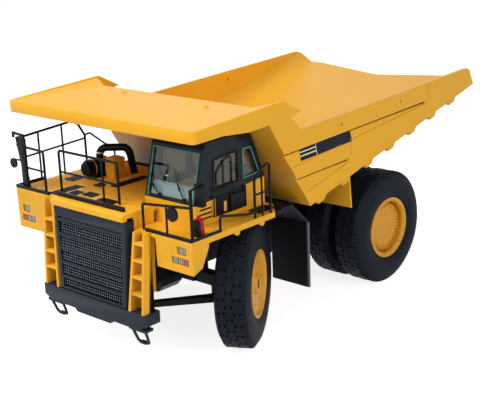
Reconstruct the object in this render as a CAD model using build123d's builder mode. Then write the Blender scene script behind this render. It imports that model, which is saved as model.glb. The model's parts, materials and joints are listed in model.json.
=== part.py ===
from build123d import *
import os
from math import atan2, cos, radians, sin

# A 1:50 display model of a rigid mining dump truck, in millimetres.
# +X is forward, +Y the truck's left, +Z up; the origin is on the ground under the
# middle of the truck's length. The bed is down and the front wheels are steered left.

os.makedirs("parts", exist_ok=True)

LEFT, RIGHT = 1, -1
SIDES = (("left", LEFT), ("right", RIGHT))

# Wheels and axles
wheelbase = 99.0
front_axle_x = 62.0
rear_axle_x = front_axle_x - wheelbase
tyre_radius = 27.0
tyre_width = 14.8
tyre_shoulder = 2.4
sidewall_bulge = 1.3
axle_z = tyre_radius
wheel_front_x = front_axle_x + tyre_radius
rim_seat_radius = 13.9
rim_flange_radius = 14.5
flange_lift = 0.27
rim_barrel_radius = 12.6
rim_hole_count = 6
rim_hole_radius = 0.8
rim_hole_circle = 9.0
spindle_radius = 2.2
running_gap = 0.05

# Steering
kingpin_y = 37.6
front_tyre_offset = 6.4
steer_angle = 28.7
kingpin_radius = 1.0
beam_half = 2.5
lug_radius = 2.4
lug_thickness = 1.8
lug_gap = 0.2
steering_arm = 8.0
steering_arm_z = axle_z - 4.5
tie_pin_radius = 0.6
tie_eye_radius = 1.4
tie_rod_radius = 0.9
lower_arm_z = axle_z - 9.5
lower_arm_depth = 2.5

# Rear wheels, each side a pair
rear_outer_y = 43.8
rear_inner_y = 26.2
rear_rim_face_y = 50.6
rear_spindle_radius = 7.0
axle_tube_radius = 6.4
axle_tube_y = 17.6
rear_strut_y = 14.6

# Frame; its heights are set off from the axles
rail_inner_y = 7.5
rail_width = 4.5
rail_outer_y = rail_inner_y + rail_width
rail_end_radius = 5.0
rail_foot_z = axle_z - 1.0
rail_top_front = axle_z + 13.0
rail_top_rear = axle_z + 27.0
collar_half = 3.5
collar_reach_y = 26.0
front_strut_y = 22.0

# Front end: how far it stands ahead of the front tyres, and the bumper
front_overhang = 16.2
bumper_front_x = wheel_front_x + front_overhang
bumper_depth = 8.2
bumper_half_width = 31.8
bumper_bottom_z = axle_z - 9.4
bumper_top_z = axle_z - 2.4
frame_front_x = bumper_front_x - bumper_depth
step_foot_z = axle_z - 16.4

# Decks, hood and nose
left_deck_clearance = 4.0
left_deck_z = 2 * tyre_radius + left_deck_clearance
deck_step = 4.5
right_deck_z = left_deck_z + deck_step
hood_step = 2.3
hood_top_z = right_deck_z + hood_step
deck_thickness = 1.6
deck_edge_depth = 2.4
deck_edge_wall = 1.2
deck_tab_radius = 1.5
deck_rear_x = 42.0
deck_front_x = wheel_front_x + 10.0
deck_outer_y = 54.0
lamp_box_rear_x = wheel_front_x + 0.6
lamp_box_foot_z = left_deck_z - 13.5
hood_sheet = 2.0
nose_half_width = 22.4
nose_foot_half_width = 20.6
nose_wall = 1.2
nose_rear_x = wheel_front_x - 2.0
hood_rear_x = 56.0
hood_right_y = -20.0

# Cab
cab_right_y = 14.0
cab_left_y = 43.0
cab_rear_x = 43.5
cab_wall = 1.2
cab_waist_front_z = left_deck_z + 8.8
cab_waist_rear_z = left_deck_z + 12.0
cab_roof_z = left_deck_z + 33.0
glass_thickness = 0.5
door_rear_x = 56.0
door_front_x = 73.4

# Bed; the tail overhangs the hinge, and the headboard leans forward over the engine
hinge_setback = 29.0
hinge_x = rear_axle_x - hinge_setback
hinge_z = axle_z + 22.0
hinge_pin_radius = 1.6
bed_width = 110.0
half_bed = bed_width / 2
bed_wall = 1.8
bed_floor = 2.0
bed_front_x = 28.0
bed_front_z = rail_top_rear + 1.0
tail_overhang = 38.6
bed_tail_x = hinge_x - tail_overhang
bed_tail_z = bed_front_z + 30.6
bed_tail_top_z = bed_tail_z + 8.8
headboard_slope = 0.63
headboard_wall = 2.8
tail_notch = 6.0
floor_vee = 1.5
floor_corner = 6.0
ledge_depth = 1.1
sling_hole_radius = 0.7
rib_count = 7
rib_pitch = 17.5
rib_depth = 2.6
rib_width = 8.0
rib_clearance = 0.3

# Canopy, which stands on the headboard over the cab
canopy_over_roof = 10.0
canopy_top_z = cab_roof_z + canopy_over_roof
canopy_front_x = 97.5
canopy_rear_x = 52.0
canopy_lip = 4.9
canopy_sheet = 1.5
canopy_corner_radius = 2.4
flange_sheet = 1.2
canopy_half = half_bed + flange_sheet
fold_inset = 11.2
fold_start = 0.06
fold_lap = 0.5
flange_rear_x = 46.0
flange_rise = 2.6
bed_side_front_x = 33.1
bed_side_front_z = canopy_top_z - 11.6

# Hoist
hoist_y = 15.2
hoist_base_x = rear_axle_x + 39.0
hoist_base_z = axle_z + 10.0
hoist_eye_x = rear_axle_x + 1.0
hoist_eye_z = hinge_z + 11.0
hoist_pin_radius = 1.3
hoist_clevis_radius = 2.4
barrel_radius = 2.6
barrel_length = 37.0
rod_radius = 1.5

# Handrails
rail_pipe_radius = 0.55
mid_rail_radius = 0.45
mast_radius = 1.2
rail_bend_radius = 1.2
front_rail_x = deck_front_x - 1.5
hood_rail_x = deck_front_x - 3.5
side_rail_y = deck_outer_y - 0.8


def outline(plane, points):
    """Sketch one closed straight-sided outline on a plane."""
    with BuildSketch(plane) as sketch:
        with BuildLine():
            Polyline(*points, close=True)
        make_face()
    return sketch.sketch


def side_plate(points, y_from, y_to, mode=Mode.ADD):
    """Extrude an XZ outline between two Y planes into the part in hand."""
    extrude(outline(Plane.XZ.offset(-y_from), points), amount=-(y_to - y_from), mode=mode)


def front_plate(points, x_from, x_to, mode=Mode.ADD):
    """Extrude a YZ outline between two X planes into the part in hand."""
    extrude(outline(Plane.YZ.offset(x_from), points), amount=x_to - x_from, mode=mode)


def level_plate(points, z_from, z_to, mode=Mode.ADD):
    """Extrude an XY outline between two Z planes into the part in hand."""
    extrude(outline(Plane.XY.offset(z_from), points), amount=z_to - z_from, mode=mode)


def block(x, y, z, mode=Mode.ADD):
    """Add or cut a block between pairs of X, Y and Z planes."""
    level_plate([(x[0], y[0]), (x[1], y[0]), (x[1], y[1]), (x[0], y[1])], z[0], z[1], mode)


def bar(start, end, radius, mode=Mode.ADD):
    """Add or cut a round bar between two points."""
    run = Vector(*end) - Vector(*start)
    with BuildSketch(Plane(origin=start, z_dir=run)) as section:
        Circle(radius)
    extrude(section.sketch, amount=run.length, mode=mode)


def pipe_run(points, radius=rail_pipe_radius, bend=rail_bend_radius):
    """Bend one pipe along a run of points, with a round bend at each corner."""
    if len(points) == 2:
        bar(points[0], points[1], radius)
        return
    with BuildLine() as route:
        FilletPolyline(*points, radius=bend)
    with BuildSketch(Plane(origin=points[0], z_dir=route.line % 0)) as section:
        Circle(radius)
    sweep(section.sketch, path=route.line)


def mirrored(points, side):
    """Flip the first coordinate of an outline for the truck's right side."""
    return [(side * y, z) for y, z in points]


def span(side, inner, outer):
    """Give two distances from the centreline as an ordered pair of Y places on one side."""
    return sorted((side * inner, side * outer))


def folded_sheet(corners, thickness):
    """Lay a flat sheet between corners in space and thicken it downwards."""
    extrude(Face(Wire.make_polygon(corners)), amount=thickness, dir=(0, 0, -1))


pieces = []


def finish(piece, name):
    """Label a finished sub-part and keep it for export."""
    piece.label = name
    pieces.append(piece)


# ---------------------------------------------------------------- main frame
rail_drop_x = front_axle_x - 48.0
rail_profile = [
    (frame_front_x, rail_foot_z), (frame_front_x, rail_top_front), (rail_drop_x, rail_top_front),
    (rear_axle_x + 27, rail_top_rear), (hinge_x, hinge_z + rail_end_radius),
    (hinge_x, hinge_z - rail_end_radius), (rear_axle_x + 21, axle_z + 17), (8, axle_z),
]
collar_x = (front_axle_x - collar_half, front_axle_x + collar_half)
collar_top_z = axle_z + 25.0
bed_rest_x = (bed_front_x - 14, bed_front_x - 8)
with BuildPart() as main_frame:
    for side in (LEFT, RIGHT):
        near, far = span(side, rail_inner_y, rail_outer_y)
        side_plate(rail_profile, near, far)
        bar((hinge_x, near, hinge_z), (hinge_x, far, hinge_z), rail_end_radius)
        # front collar that carries the suspension strut and both decks
        front_plate(mirrored([(rail_outer_y, axle_z + 2.5), (15, axle_z + 2.5), (16, axle_z + 17),
                              (collar_reach_y, axle_z + 21), (collar_reach_y, collar_top_z),
                              (rail_outer_y, collar_top_z)], side), *collar_x)
        # post that the bed's sill rests on
        block(bed_rest_x, (near, far), (rail_top_front, rail_top_rear))
        bar((hoist_base_x, side * rail_outer_y, hoist_base_z),
            (hoist_base_x, side * (hoist_y + barrel_radius), hoist_base_z), hoist_pin_radius)
    # cross members between the rails, and the hinge pin
    block((frame_front_x - 8, frame_front_x - 2), (-rail_inner_y, rail_inner_y),
          (axle_z + 1, axle_z + 11))
    for cross_x in (rear_axle_x + 15, hinge_x + 8):
        block((cross_x, cross_x + 6.5), (-rail_inner_y, rail_inner_y), (hinge_z - 3, hinge_z + 3))
    bar((18, -rail_inner_y, axle_z + 6), (18, rail_inner_y, axle_z + 6), 3)
    bar((hinge_x, -15, hinge_z), (hinge_x, 15, hinge_z), hinge_pin_radius)
    # deck posts on the collar
    for side, deck_z in ((LEFT, left_deck_z), (RIGHT, right_deck_z)):
        block(collar_x, span(side, 20, collar_reach_y), (collar_top_z, deck_z - deck_thickness))
finish(main_frame.part, "main_frame")

# -------------------------------------------------------------- engine block
engine_x = (56.0, wheel_front_x - 3.0)
engine_half = rail_inner_y - 0.2
engine_top_z = right_deck_z - 5.5
with BuildPart() as engine_block:
    block(engine_x, (-engine_half, engine_half), (axle_z + 2, rail_top_front + 0.3))
    block(engine_x, (-11, 11), (rail_top_front + 0.3, engine_top_z))
    # oil pan below the rails
    front_plate([(-engine_half, axle_z + 2), (-engine_half, axle_z - 6), (-4.5, axle_z - 9),
                 (4.5, axle_z - 9), (engine_half, axle_z - 6), (engine_half, axle_z + 2)],
                front_axle_x - 2, front_axle_x + 10)
finish(engine_block.part, "engine_block")

# ------------------------------------------------------ rear axle and struts
with BuildPart() as rear_axle:
    bar((rear_axle_x, -axle_tube_y, axle_z), (rear_axle_x, axle_tube_y, axle_z), axle_tube_radius)
    with BuildSketch(Plane.XY) as housing:
        with BuildLine():
            Polyline((0, -9), (4.5, -9), (9.2, -4), (9.2, 4), (4.5, 9), (0, 9), close=True)
        make_face()
    add(revolve(housing.sketch, axis=Axis.Y, mode=Mode.PRIVATE).moved(
        Location((rear_axle_x, 0, axle_z))))
    strut_x = rear_axle_x - 5
    for side in (LEFT, RIGHT):
        bar((rear_axle_x, side * axle_tube_y, axle_z), (rear_axle_x, side * 43.0, axle_z),
            rear_spindle_radius)
        # suspension strut from the housing up to the frame rail
        bar((strut_x, side * rear_strut_y, axle_z + 3), (strut_x, side * rear_strut_y, hinge_z + 2),
            2.2)
        block((strut_x - 2, strut_x + 2), span(side, rail_outer_y, rear_strut_y),
              (hinge_z - 3, hinge_z + 1))
    # torque arm forward to the frame
    arm_front_x = rear_axle_x + 25
    level_plate([(rear_axle_x, -8), (arm_front_x, -3), (arm_front_x, 3), (rear_axle_x, 8)],
                axle_z - 3, axle_z + 3)
    block((arm_front_x - 4, arm_front_x), (-3, 3), (axle_z - 3, hinge_z - 3))
finish(rear_axle.part, "rear_axle")

# ---------------------------------------------------------- front suspension
arm_root_x = frame_front_x - 9.0
with BuildPart() as front_axle:
    block((front_axle_x - beam_half, front_axle_x + beam_half), (-kingpin_y, kingpin_y),
          (axle_z - beam_half, axle_z + beam_half))
    # the beam opens round the engine and its oil pan
    block((front_axle_x - beam_half, front_axle_x + beam_half), (-rail_outer_y, rail_outer_y),
          (axle_z - beam_half, axle_z + beam_half + 0.5), mode=Mode.SUBTRACT)
    for side in (LEFT, RIGHT):
        bar((front_axle_x, side * kingpin_y, axle_z - beam_half),
            (front_axle_x, side * kingpin_y, axle_z + beam_half), beam_half)
        bar((front_axle_x, side * kingpin_y, axle_z - 5.2),
            (front_axle_x, side * kingpin_y, axle_z + 5.2), kingpin_radius)
        # suspension strut up to the frame's collar
        bar((front_axle_x, side * front_strut_y, axle_z),
            (front_axle_x, side * front_strut_y, axle_z + 18.2), 2.8)
        # wishbone that hangs under the beam and runs forward to the frame
        wishbone = [(front_axle_x + 2.2, side * 32.6), (front_axle_x - 2, side * 29),
                    (front_axle_x + 2.2, side * 27), (arm_root_x - 4, side * rail_outer_y),
                    (arm_root_x, side * rail_outer_y)]
        level_plate(wishbone, lower_arm_z, lower_arm_z + lower_arm_depth)
        bar((front_axle_x, side * 30.2, lower_arm_z), (front_axle_x, side * 30.2, axle_z), 2.2)
        block((arm_root_x - 4, arm_root_x), span(side, rail_inner_y + 1, rail_outer_y),
              (lower_arm_z, rail_foot_z))
        block(collar_x, span(side, rail_outer_y, front_strut_y - 2),
              (axle_z - beam_half, axle_z + beam_half))
finish(front_axle.part, "front_axle")

# ------------------------------------------------ steering knuckles, tie rod
lug_inner = beam_half + lug_gap
lug_outer = lug_inner + lug_thickness
for name, side in SIDES:
    pin = (front_axle_x, side * kingpin_y)
    with BuildPart() as knuckle:
        for lug_from, lug_to in ((axle_z - lug_outer, axle_z - lug_inner),
                                 (axle_z + lug_inner, axle_z + lug_outer)):
            bar((*pin, lug_from), (*pin, lug_to), lug_radius)
            block((pin[0] - lug_radius, pin[0] + lug_radius), sorted((pin[1], pin[1] + side * 3.2)),
                  (lug_from, lug_to))
        block((pin[0] - 3, pin[0] + 3), sorted((pin[1] + side * 2.8, pin[1] + side * 4.6)),
              (axle_z - lug_outer, axle_z + lug_outer))
        bar((pin[0], pin[1] + side * 4.6, axle_z), (pin[0], pin[1] + side * 12.4, axle_z),
            spindle_radius)
        # steering arm and the pin that carries the tie rod
        tie_pin_x = pin[0] - steering_arm
        block((tie_pin_x, pin[0]), (pin[1] - 1.2, pin[1] + 1.2), (steering_arm_z, axle_z - lug_inner))
        bar((tie_pin_x, pin[1], steering_arm_z), (tie_pin_x, pin[1], axle_z - lug_inner), 1.2)
        bar((tie_pin_x, pin[1], steering_arm_z - 2.4), (tie_pin_x, pin[1], steering_arm_z),
            tie_pin_radius)
        bar((*pin, axle_z - 6), (*pin, axle_z + 6), kingpin_radius + running_gap,
            mode=Mode.SUBTRACT)
    finish(knuckle.part.rotate(Axis((*pin, 0), (0, 0, 1)), steer_angle), f"{name}_knuckle")

arm_dx = -steering_arm * cos(radians(steer_angle))
arm_dy = -steering_arm * sin(radians(steer_angle))
tie_z = steering_arm_z - 1.3
tie_eyes = [(front_axle_x + arm_dx, side * kingpin_y + arm_dy) for side in (RIGHT, LEFT)]
with BuildPart() as tie_rod:
    bar((*tie_eyes[0], tie_z), (*tie_eyes[1], tie_z), tie_rod_radius)
    for eye in tie_eyes:
        bar((*eye, tie_z - 0.95), (*eye, tie_z + 0.95), tie_eye_radius)
    for eye in tie_eyes:
        bar((*eye, tie_z - 2), (*eye, tie_z + 2), tie_pin_radius + running_gap, mode=Mode.SUBTRACT)
finish(tie_rod.part, "tie_rod")


# -------------------------------------------------------------------- wheels
def tyre():
    """Revolve one tyre about the axle line, centred on the XZ plane."""
    half = tyre_width / 2
    bead, shoulder = half - sidewall_bulge, tyre_radius - tyre_shoulder
    with BuildSketch(Plane.XY) as section:
        with BuildLine():
            ThreePointArc((rim_seat_radius, bead), ((rim_seat_radius + shoulder) / 2, half),
                          (shoulder, half - 0.8))
            Polyline((shoulder, half - 0.8), (tyre_radius, half - tyre_shoulder),
                     (tyre_radius, -half + tyre_shoulder), (shoulder, -half + 0.8))
            ThreePointArc((shoulder, -half + 0.8), ((rim_seat_radius + shoulder) / 2, -half),
                          (rim_seat_radius, -bead))
            Line((rim_seat_radius, -bead), (rim_seat_radius, bead))
        make_face()
    revolve(section.sketch, axis=Axis.Y)


def turned(points):
    """Revolve a (radius, y) outline about the axle line."""
    revolve(outline(Plane.XY, points), axis=Axis.Y)


def place_wheel(part, axle_x, side):
    """Turn a left wheel into its place on either side of an axle."""
    moved = part if side == LEFT else part.mirror(Plane.XZ)
    return moved.moved(Location((axle_x, 0, axle_z)))


front_face_y = front_tyre_offset + tyre_width / 2 - 0.6
bead_y = tyre_width / 2 - sidewall_bulge
front_flange_y = front_tyre_offset + bead_y + flange_lift
rear_flange_y = rear_outer_y + bead_y + flange_lift
for name, side in SIDES:
    pin_axis = Axis((front_axle_x, side * kingpin_y, 0), (0, 0, 1))
    with BuildPart() as front_tyre:
        tyre()
    centred = front_tyre.part.moved(Location((0, kingpin_y + front_tyre_offset, 0)))
    finish(place_wheel(centred, front_axle_x, side).rotate(pin_axis, steer_angle),
           f"{name}_front_tyre")
    bore = spindle_radius + running_gap
    with BuildPart() as front_rim:
        turned([(bore, 8.5), (4.5, 8.5), (5.0, 10.2), (rim_barrel_radius, 10.6),
                (rim_barrel_radius, 0.2), (rim_seat_radius, 0.2), (rim_seat_radius, front_flange_y),
                (rim_flange_radius, front_flange_y), (rim_flange_radius, front_face_y),
                (12.9, front_face_y), (12.2, 12.3), (4.5, 11.6), (4.0, front_face_y - 0.4),
                (bore, front_face_y - 0.4)])
        with Locations(Plane(origin=(0, front_face_y, 0), x_dir=(1, 0, 0), z_dir=(0, 1, 0))):
            with PolarLocations(rim_hole_circle, rim_hole_count):
                Hole(rim_hole_radius)
    rim_placed = front_rim.part.moved(Location((0, kingpin_y, 0)))
    finish(place_wheel(rim_placed, front_axle_x, side).rotate(pin_axis, steer_angle),
           f"{name}_front_rim")

for name, side in SIDES:
    with BuildPart() as rear_tyre:
        tyre()
    pair = [place_wheel(rear_tyre.part.moved(Location((0, centre, 0))), rear_axle_x, side)
            for centre in (rear_outer_y, rear_inner_y)]
    finish(Compound(children=pair), f"{name}_rear_tyres")
    bore = rear_spindle_radius + running_gap
    face = rear_rim_face_y
    with BuildPart() as rear_rim:
        turned([(bore, 30.0), (rim_seat_radius - 1.2, 30.0), (rim_seat_radius - 1.2, 20.2),
                (rim_seat_radius, 20.2), (rim_seat_radius, rear_flange_y),
                (rim_flange_radius, rear_flange_y),
                (rim_flange_radius, face), (12.9, face), (12.4, 49.6), (12.4, 45.6),
                (10.2, 45.0), (10.2, 47.9), (0, 47.9), (0, 43.2), (bore, 43.2)])
    finish(place_wheel(rear_rim.part, rear_axle_x, side), f"{name}_rear_rims")

# -------------------------------------------------------------- bumper, steps
ladder_inner_foot = nose_foot_half_width + 1.4
ladder_outer_foot = bumper_half_width - 0.8
ladder_inner_head = nose_half_width + 2.4
ladder_outer_head = ladder_inner_head + 6.8
bumper_end_z = bumper_bottom_z + 2.0
with BuildPart() as front_bumper:
    front_plate([(-bumper_half_width, bumper_top_z), (-bumper_half_width, bumper_end_z),
                 (-bumper_half_width + 4.8, bumper_bottom_z),
                 (bumper_half_width - 4.8, bumper_bottom_z), (bumper_half_width, bumper_end_z),
                 (bumper_half_width, bumper_top_z)], frame_front_x, bumper_front_x)
    # lower lip across the middle
    front_plate([(-12, bumper_bottom_z), (-10.5, bumper_bottom_z - 1.4),
                 (10.5, bumper_bottom_z - 1.4), (12, bumper_bottom_z)],
                frame_front_x + 3, bumper_front_x)
    # a step under each ladder hangs from its own plate on a bent hoop
    for side in (LEFT, RIGHT):
        inner, outer = ladder_inner_foot, ladder_outer_foot - 1.2
        block((bumper_front_x - 5, bumper_front_x - 0.6), span(side, inner - 1, outer + 1),
              (bumper_bottom_z - 1.0, bumper_bottom_z + 0.2))
        hook_x, tread_x = bumper_front_x - 1.6, bumper_front_x - 4.0
        pipe_run([(hook_x, side * inner, bumper_bottom_z - 0.6),
                  (tread_x, side * (inner + 0.8), step_foot_z),
                  (tread_x, side * (outer - 0.8), step_foot_z),
                  (hook_x, side * outer, bumper_bottom_z - 0.6)], 0.6)
        block((tread_x - 0.9, tread_x + 0.9), span(side, inner + 2.2, outer - 2.2),
              (step_foot_z - 0.5, step_foot_z + 0.5))
finish(front_bumper.part, "front_bumper")

# -------------------------------------------------------------------- grille
grille_foot_z = bumper_top_z + 0.2
grille_height = hood_top_z - 3.2 - grille_foot_z
grille_lean = 1.9
grille_depth = 4.6
grille_rim = 2.2
badge_band = 4.6
slat_count = 5
slat_height = 1.1
mesh_recess = 1.3
grille_plane = Plane(origin=(bumper_front_x - 0.2, 0, grille_foot_z), x_dir=(0, 1, 0),
                     z_dir=(cos(radians(grille_lean)), 0, sin(radians(grille_lean))))


def nose_half_at(height):
    """Half width of the nose at a height above the grille's foot."""
    return nose_foot_half_width + (nose_half_width - nose_foot_half_width) * height / grille_height


def grille_band(height_from, height_to, inset, depth, mode=Mode.ADD):
    """Add or cut a band between two heights, inset from the nose's tapering sides."""
    low, high = nose_half_at(height_from) - inset, nose_half_at(height_to) - inset
    band = [(-low, height_from), (low, height_from), (high, height_to), (-high, height_to)]
    extrude(outline(grille_plane, band), amount=-depth, mode=mode)


with BuildPart() as grille:
    grille_band(0, grille_height, 0, grille_depth)
    mesh_foot, mesh_head = grille_rim / 2, grille_height - badge_band
    grille_band(mesh_foot, mesh_head, grille_rim, mesh_recess, mode=Mode.SUBTRACT)
    slat_pitch = (mesh_head - mesh_foot) / slat_count
    for index in range(slat_count):
        slat_foot = mesh_foot + (index + 0.66) * slat_pitch
        grille_band(slat_foot, slat_foot + slat_height, grille_rim, mesh_recess + 0.2)
    ahead_of_grille = Axis(grille_plane.origin, grille_plane.z_dir)
    chamfer(grille.faces().sort_by(ahead_of_grille)[-1].outer_wire().edges(), 0.4)
finish(grille.part, "grille")

# ---------------------------------------------------------------------- hood
hood_under_z = hood_top_z - hood_sheet
lip_depth = 2.4
nose_side_x = (wheel_front_x - 1, bumper_front_x - grille_depth - 1.6)
with BuildPart() as hood:
    level_plate([(bumper_front_x, -nose_half_width), (bumper_front_x, nose_half_width),
                 (nose_rear_x, nose_half_width), (nose_rear_x, cab_right_y - 0.8),
                 (hood_rear_x, cab_right_y - 0.8), (hood_rear_x, hood_right_y),
                 (nose_rear_x, hood_right_y), (nose_rear_x, -nose_half_width)],
                hood_under_z, hood_top_z)
    chamfer(hood.edges().filter_by(Axis.Y).sort_by(Axis.X)[-2:].sort_by(Axis.Z)[-1], 0.8)
    # turned-down lip over the grille, then the nose's side and bulkhead sheets
    block((bumper_front_x - lip_depth, bumper_front_x), (-nose_half_width, nose_half_width),
          (hood_under_z - 1.0, hood_under_z))
    for side in (LEFT, RIGHT):
        front_plate(mirrored([(nose_half_width, hood_under_z),
                              (nose_half_width - nose_wall, hood_under_z),
                              (nose_foot_half_width - nose_wall, axle_z),
                              (nose_foot_half_width, axle_z)], side), *nose_side_x)
    block((hood_rear_x, nose_side_x[0]), (hood_right_y, hood_right_y + nose_wall),
          (engine_top_z, hood_under_z))
    block((hood_rear_x, hood_rear_x + nose_wall), (hood_right_y, cab_right_y - 0.8),
          (engine_top_z, hood_under_z))
finish(hood.part, "hood")

# ----------------------------------------------------------- decks and fenders
lamp_inner_y = ladder_outer_head + 2.4
deck_tabs_x = (deck_front_x - 8, deck_front_x - 26, deck_front_x - 41)
walkway_rear_x = 50.0
walkway_rear_y = 46.0
# lamp pockets: inner and outer Y, foot and height above the box's foot
lamp_pockets = ((42.4, 51.6, 3.2, 3.0), (45.6, 50.6, 7.4, 3.4))
lamp_pocket_depth = 1.6


def lamp_box(side, deck_z, mode=Mode.ADD):
    """Box under a deck's front corner that houses the headlamps."""
    side_plate([(deck_front_x, deck_z - 1), (deck_front_x - 0.4, lamp_box_foot_z),
                (lamp_box_rear_x + 4, lamp_box_foot_z + 2),
                (lamp_box_rear_x, lamp_box_foot_z + 9.5), (lamp_box_rear_x, deck_z - 1)],
               *span(side, lamp_inner_y, deck_outer_y), mode=mode)


for name, side, deck_z, inner_y in (("left", LEFT, left_deck_z, cab_right_y),
                                    ("right", RIGHT, right_deck_z, -hood_right_y + 0.2)):
    with BuildPart() as fender:
        points = [(deck_rear_x, inner_y), (nose_rear_x - 0.3, inner_y),
                  (nose_rear_x - 0.3, nose_half_width + 0.2), (deck_front_x, nose_half_width + 0.2),
                  (deck_front_x, deck_outer_y), (walkway_rear_x, deck_outer_y),
                  (deck_rear_x, walkway_rear_y)]
        level_plate([(x, side * y) for x, y in points], deck_z - deck_thickness, deck_z)
        # turned-down outer edge with rounded tabs
        block((walkway_rear_x, deck_front_x), span(side, deck_outer_y - deck_edge_wall, deck_outer_y),
              (deck_z - deck_edge_depth, deck_z))
        for tab_x in deck_tabs_x:
            bar((tab_x, side * (deck_outer_y - deck_edge_wall), deck_z - deck_edge_depth),
                (tab_x, side * deck_outer_y, deck_z - deck_edge_depth), deck_tab_radius)
        lamp_box(side, deck_z)
        for pocket_inner, pocket_outer, foot, height in lamp_pockets:
            block((deck_front_x - lamp_pocket_depth, deck_front_x + 1),
                  span(side, pocket_inner, pocket_outer),
                  (lamp_box_foot_z + foot, lamp_box_foot_z + foot + height), mode=Mode.SUBTRACT)
    finish(fender.part, f"{name}_fender")

lens_margin = 0.5
with BuildPart() as headlamps:
    for side in (LEFT, RIGHT):
        for pocket_inner, pocket_outer, foot, height in lamp_pockets:
            block((deck_front_x - lamp_pocket_depth, deck_front_x - 0.7),
                  span(side, pocket_inner + lens_margin, pocket_outer - lens_margin),
                  (lamp_box_foot_z + foot + lens_margin, lamp_box_foot_z + foot + height - lens_margin))
finish(headlamps.part, "headlamps")

# ------------------------------------------------------------------- ladders
stringer = 1.2
first_rung_z = axle_z + 5.4
rung_pitch = 7.0
rung_count = 4
rung_half = 0.5
ladder_lean = 3.4
with BuildPart() as ladders:
    for side, head_z in ((LEFT, left_deck_z), (RIGHT, right_deck_z)):
        climb = head_z - bumper_top_z
        for foot_y, head_y, inward in ((ladder_inner_foot, ladder_inner_head, stringer),
                                       (ladder_outer_foot, ladder_outer_head, -stringer)):
            front_plate(mirrored([(foot_y, bumper_top_z), (foot_y + inward, bumper_top_z),
                                  (head_y + inward, head_z), (head_y, head_z)], side),
                        deck_front_x, bumper_front_x)
        for index in range(rung_count):
            rung_z = first_rung_z + index * rung_pitch
            rise = (rung_z - bumper_top_z) / climb
            inner = ladder_inner_foot + (ladder_inner_head - ladder_inner_foot) * rise
            outer = ladder_outer_foot + (ladder_outer_head - ladder_outer_foot) * rise
            block((deck_front_x + 1, bumper_front_x), span(side, inner + 0.6, outer - 0.6),
                  (rung_z - rung_half, rung_z + rung_half))
    # lean the fronts back from the bumper to the decks
    side_plate([(bumper_front_x, bumper_top_z - 1), (bumper_front_x + 4, bumper_top_z - 1),
                (bumper_front_x + 4, hood_top_z), (bumper_front_x - ladder_lean, hood_top_z)],
               -nose_half_width - 16, nose_half_width + 16, mode=Mode.SUBTRACT)
finish(ladders.part, "ladders")

# ----------------------------------------------------------------------- cab
cab_floor_z = left_deck_z + cab_wall
waist_front_x = 84.7
base_front_x = 86.5
roof_front_z = cab_roof_z - 2.5
cab_lower_side = [(cab_rear_x, left_deck_z), (base_front_x, left_deck_z),
                  (waist_front_x, cab_waist_front_z), (cab_rear_x, cab_waist_rear_z)]
cab_lower_hollow = [(cab_rear_x + cab_wall, cab_floor_z),
                    (base_front_x - cab_wall - 0.3, cab_floor_z),
                    (waist_front_x - cab_wall, cab_waist_front_z + 1.2),
                    (cab_rear_x + cab_wall, cab_waist_rear_z + 2)]
cab_upper_side = [(cab_rear_x, cab_waist_rear_z), (waist_front_x, cab_waist_front_z),
                  (79.0, roof_front_z), (77.5, cab_roof_z), (52.6, cab_roof_z),
                  (50.9, cab_roof_z - 2), (cab_rear_x, cab_waist_rear_z + 1.5)]
cab_upper_hollow = [(cab_rear_x + cab_wall, cab_waist_rear_z - 1),
                    (waist_front_x - cab_wall, cab_waist_front_z - 1.3),
                    (79.0 - cab_wall, roof_front_z - 0.7), (76.8, cab_roof_z - cab_wall),
                    (53.3, cab_roof_z - cab_wall), (52.2, cab_roof_z - 2.4),
                    (cab_rear_x + cab_wall, cab_waist_rear_z + 1.2)]
door_foot_z = left_deck_z + 2.0
louvre_count = 3
with BuildPart() as cab_lower:
    side_plate(cab_lower_side, cab_right_y, cab_left_y)
    side_plate(cab_lower_hollow, cab_right_y + cab_wall, cab_left_y - cab_wall,
               mode=Mode.SUBTRACT)
    block((door_rear_x, door_front_x), (cab_left_y - cab_wall - 0.1, cab_left_y + 0.1),
          (door_foot_z, cab_waist_rear_z + 2), mode=Mode.SUBTRACT)
    # louvres in the corner ahead of the door
    for index in range(louvre_count):
        slot_z = left_deck_z + 2.4 + index * 1.9
        block((75.6, 82.6), (cab_left_y - 0.6, cab_left_y + 0.1), (slot_z, slot_z + 0.8),
              mode=Mode.SUBTRACT)
finish(cab_lower.part, "cab_lower")

# windows as (X, height above the deck)
door_window = [(59.5, 13.5), (75.0, 13.2), (73.8, 25.8), (59.5, 26.6)]
quarter_window = [(56.8, 13.8), (46.6, 14.6), (51.6, 26.6), (56.8, 26.6)]
screen_foot_z = left_deck_z + 9.9
screen_head_z = left_deck_z + 28.8
screen_inset = 1.8
screen_slope = (79.0 - waist_front_x) / (roof_front_z - cab_waist_front_z)


def screen_x(z):
    """Place of the windscreen's outer face along the truck at a height."""
    return waist_front_x + (z - cab_waist_front_z) * screen_slope


def at_deck(points):
    """Lift a window's outline on to the left deck."""
    return [(x, left_deck_z + height) for x, height in points]


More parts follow.
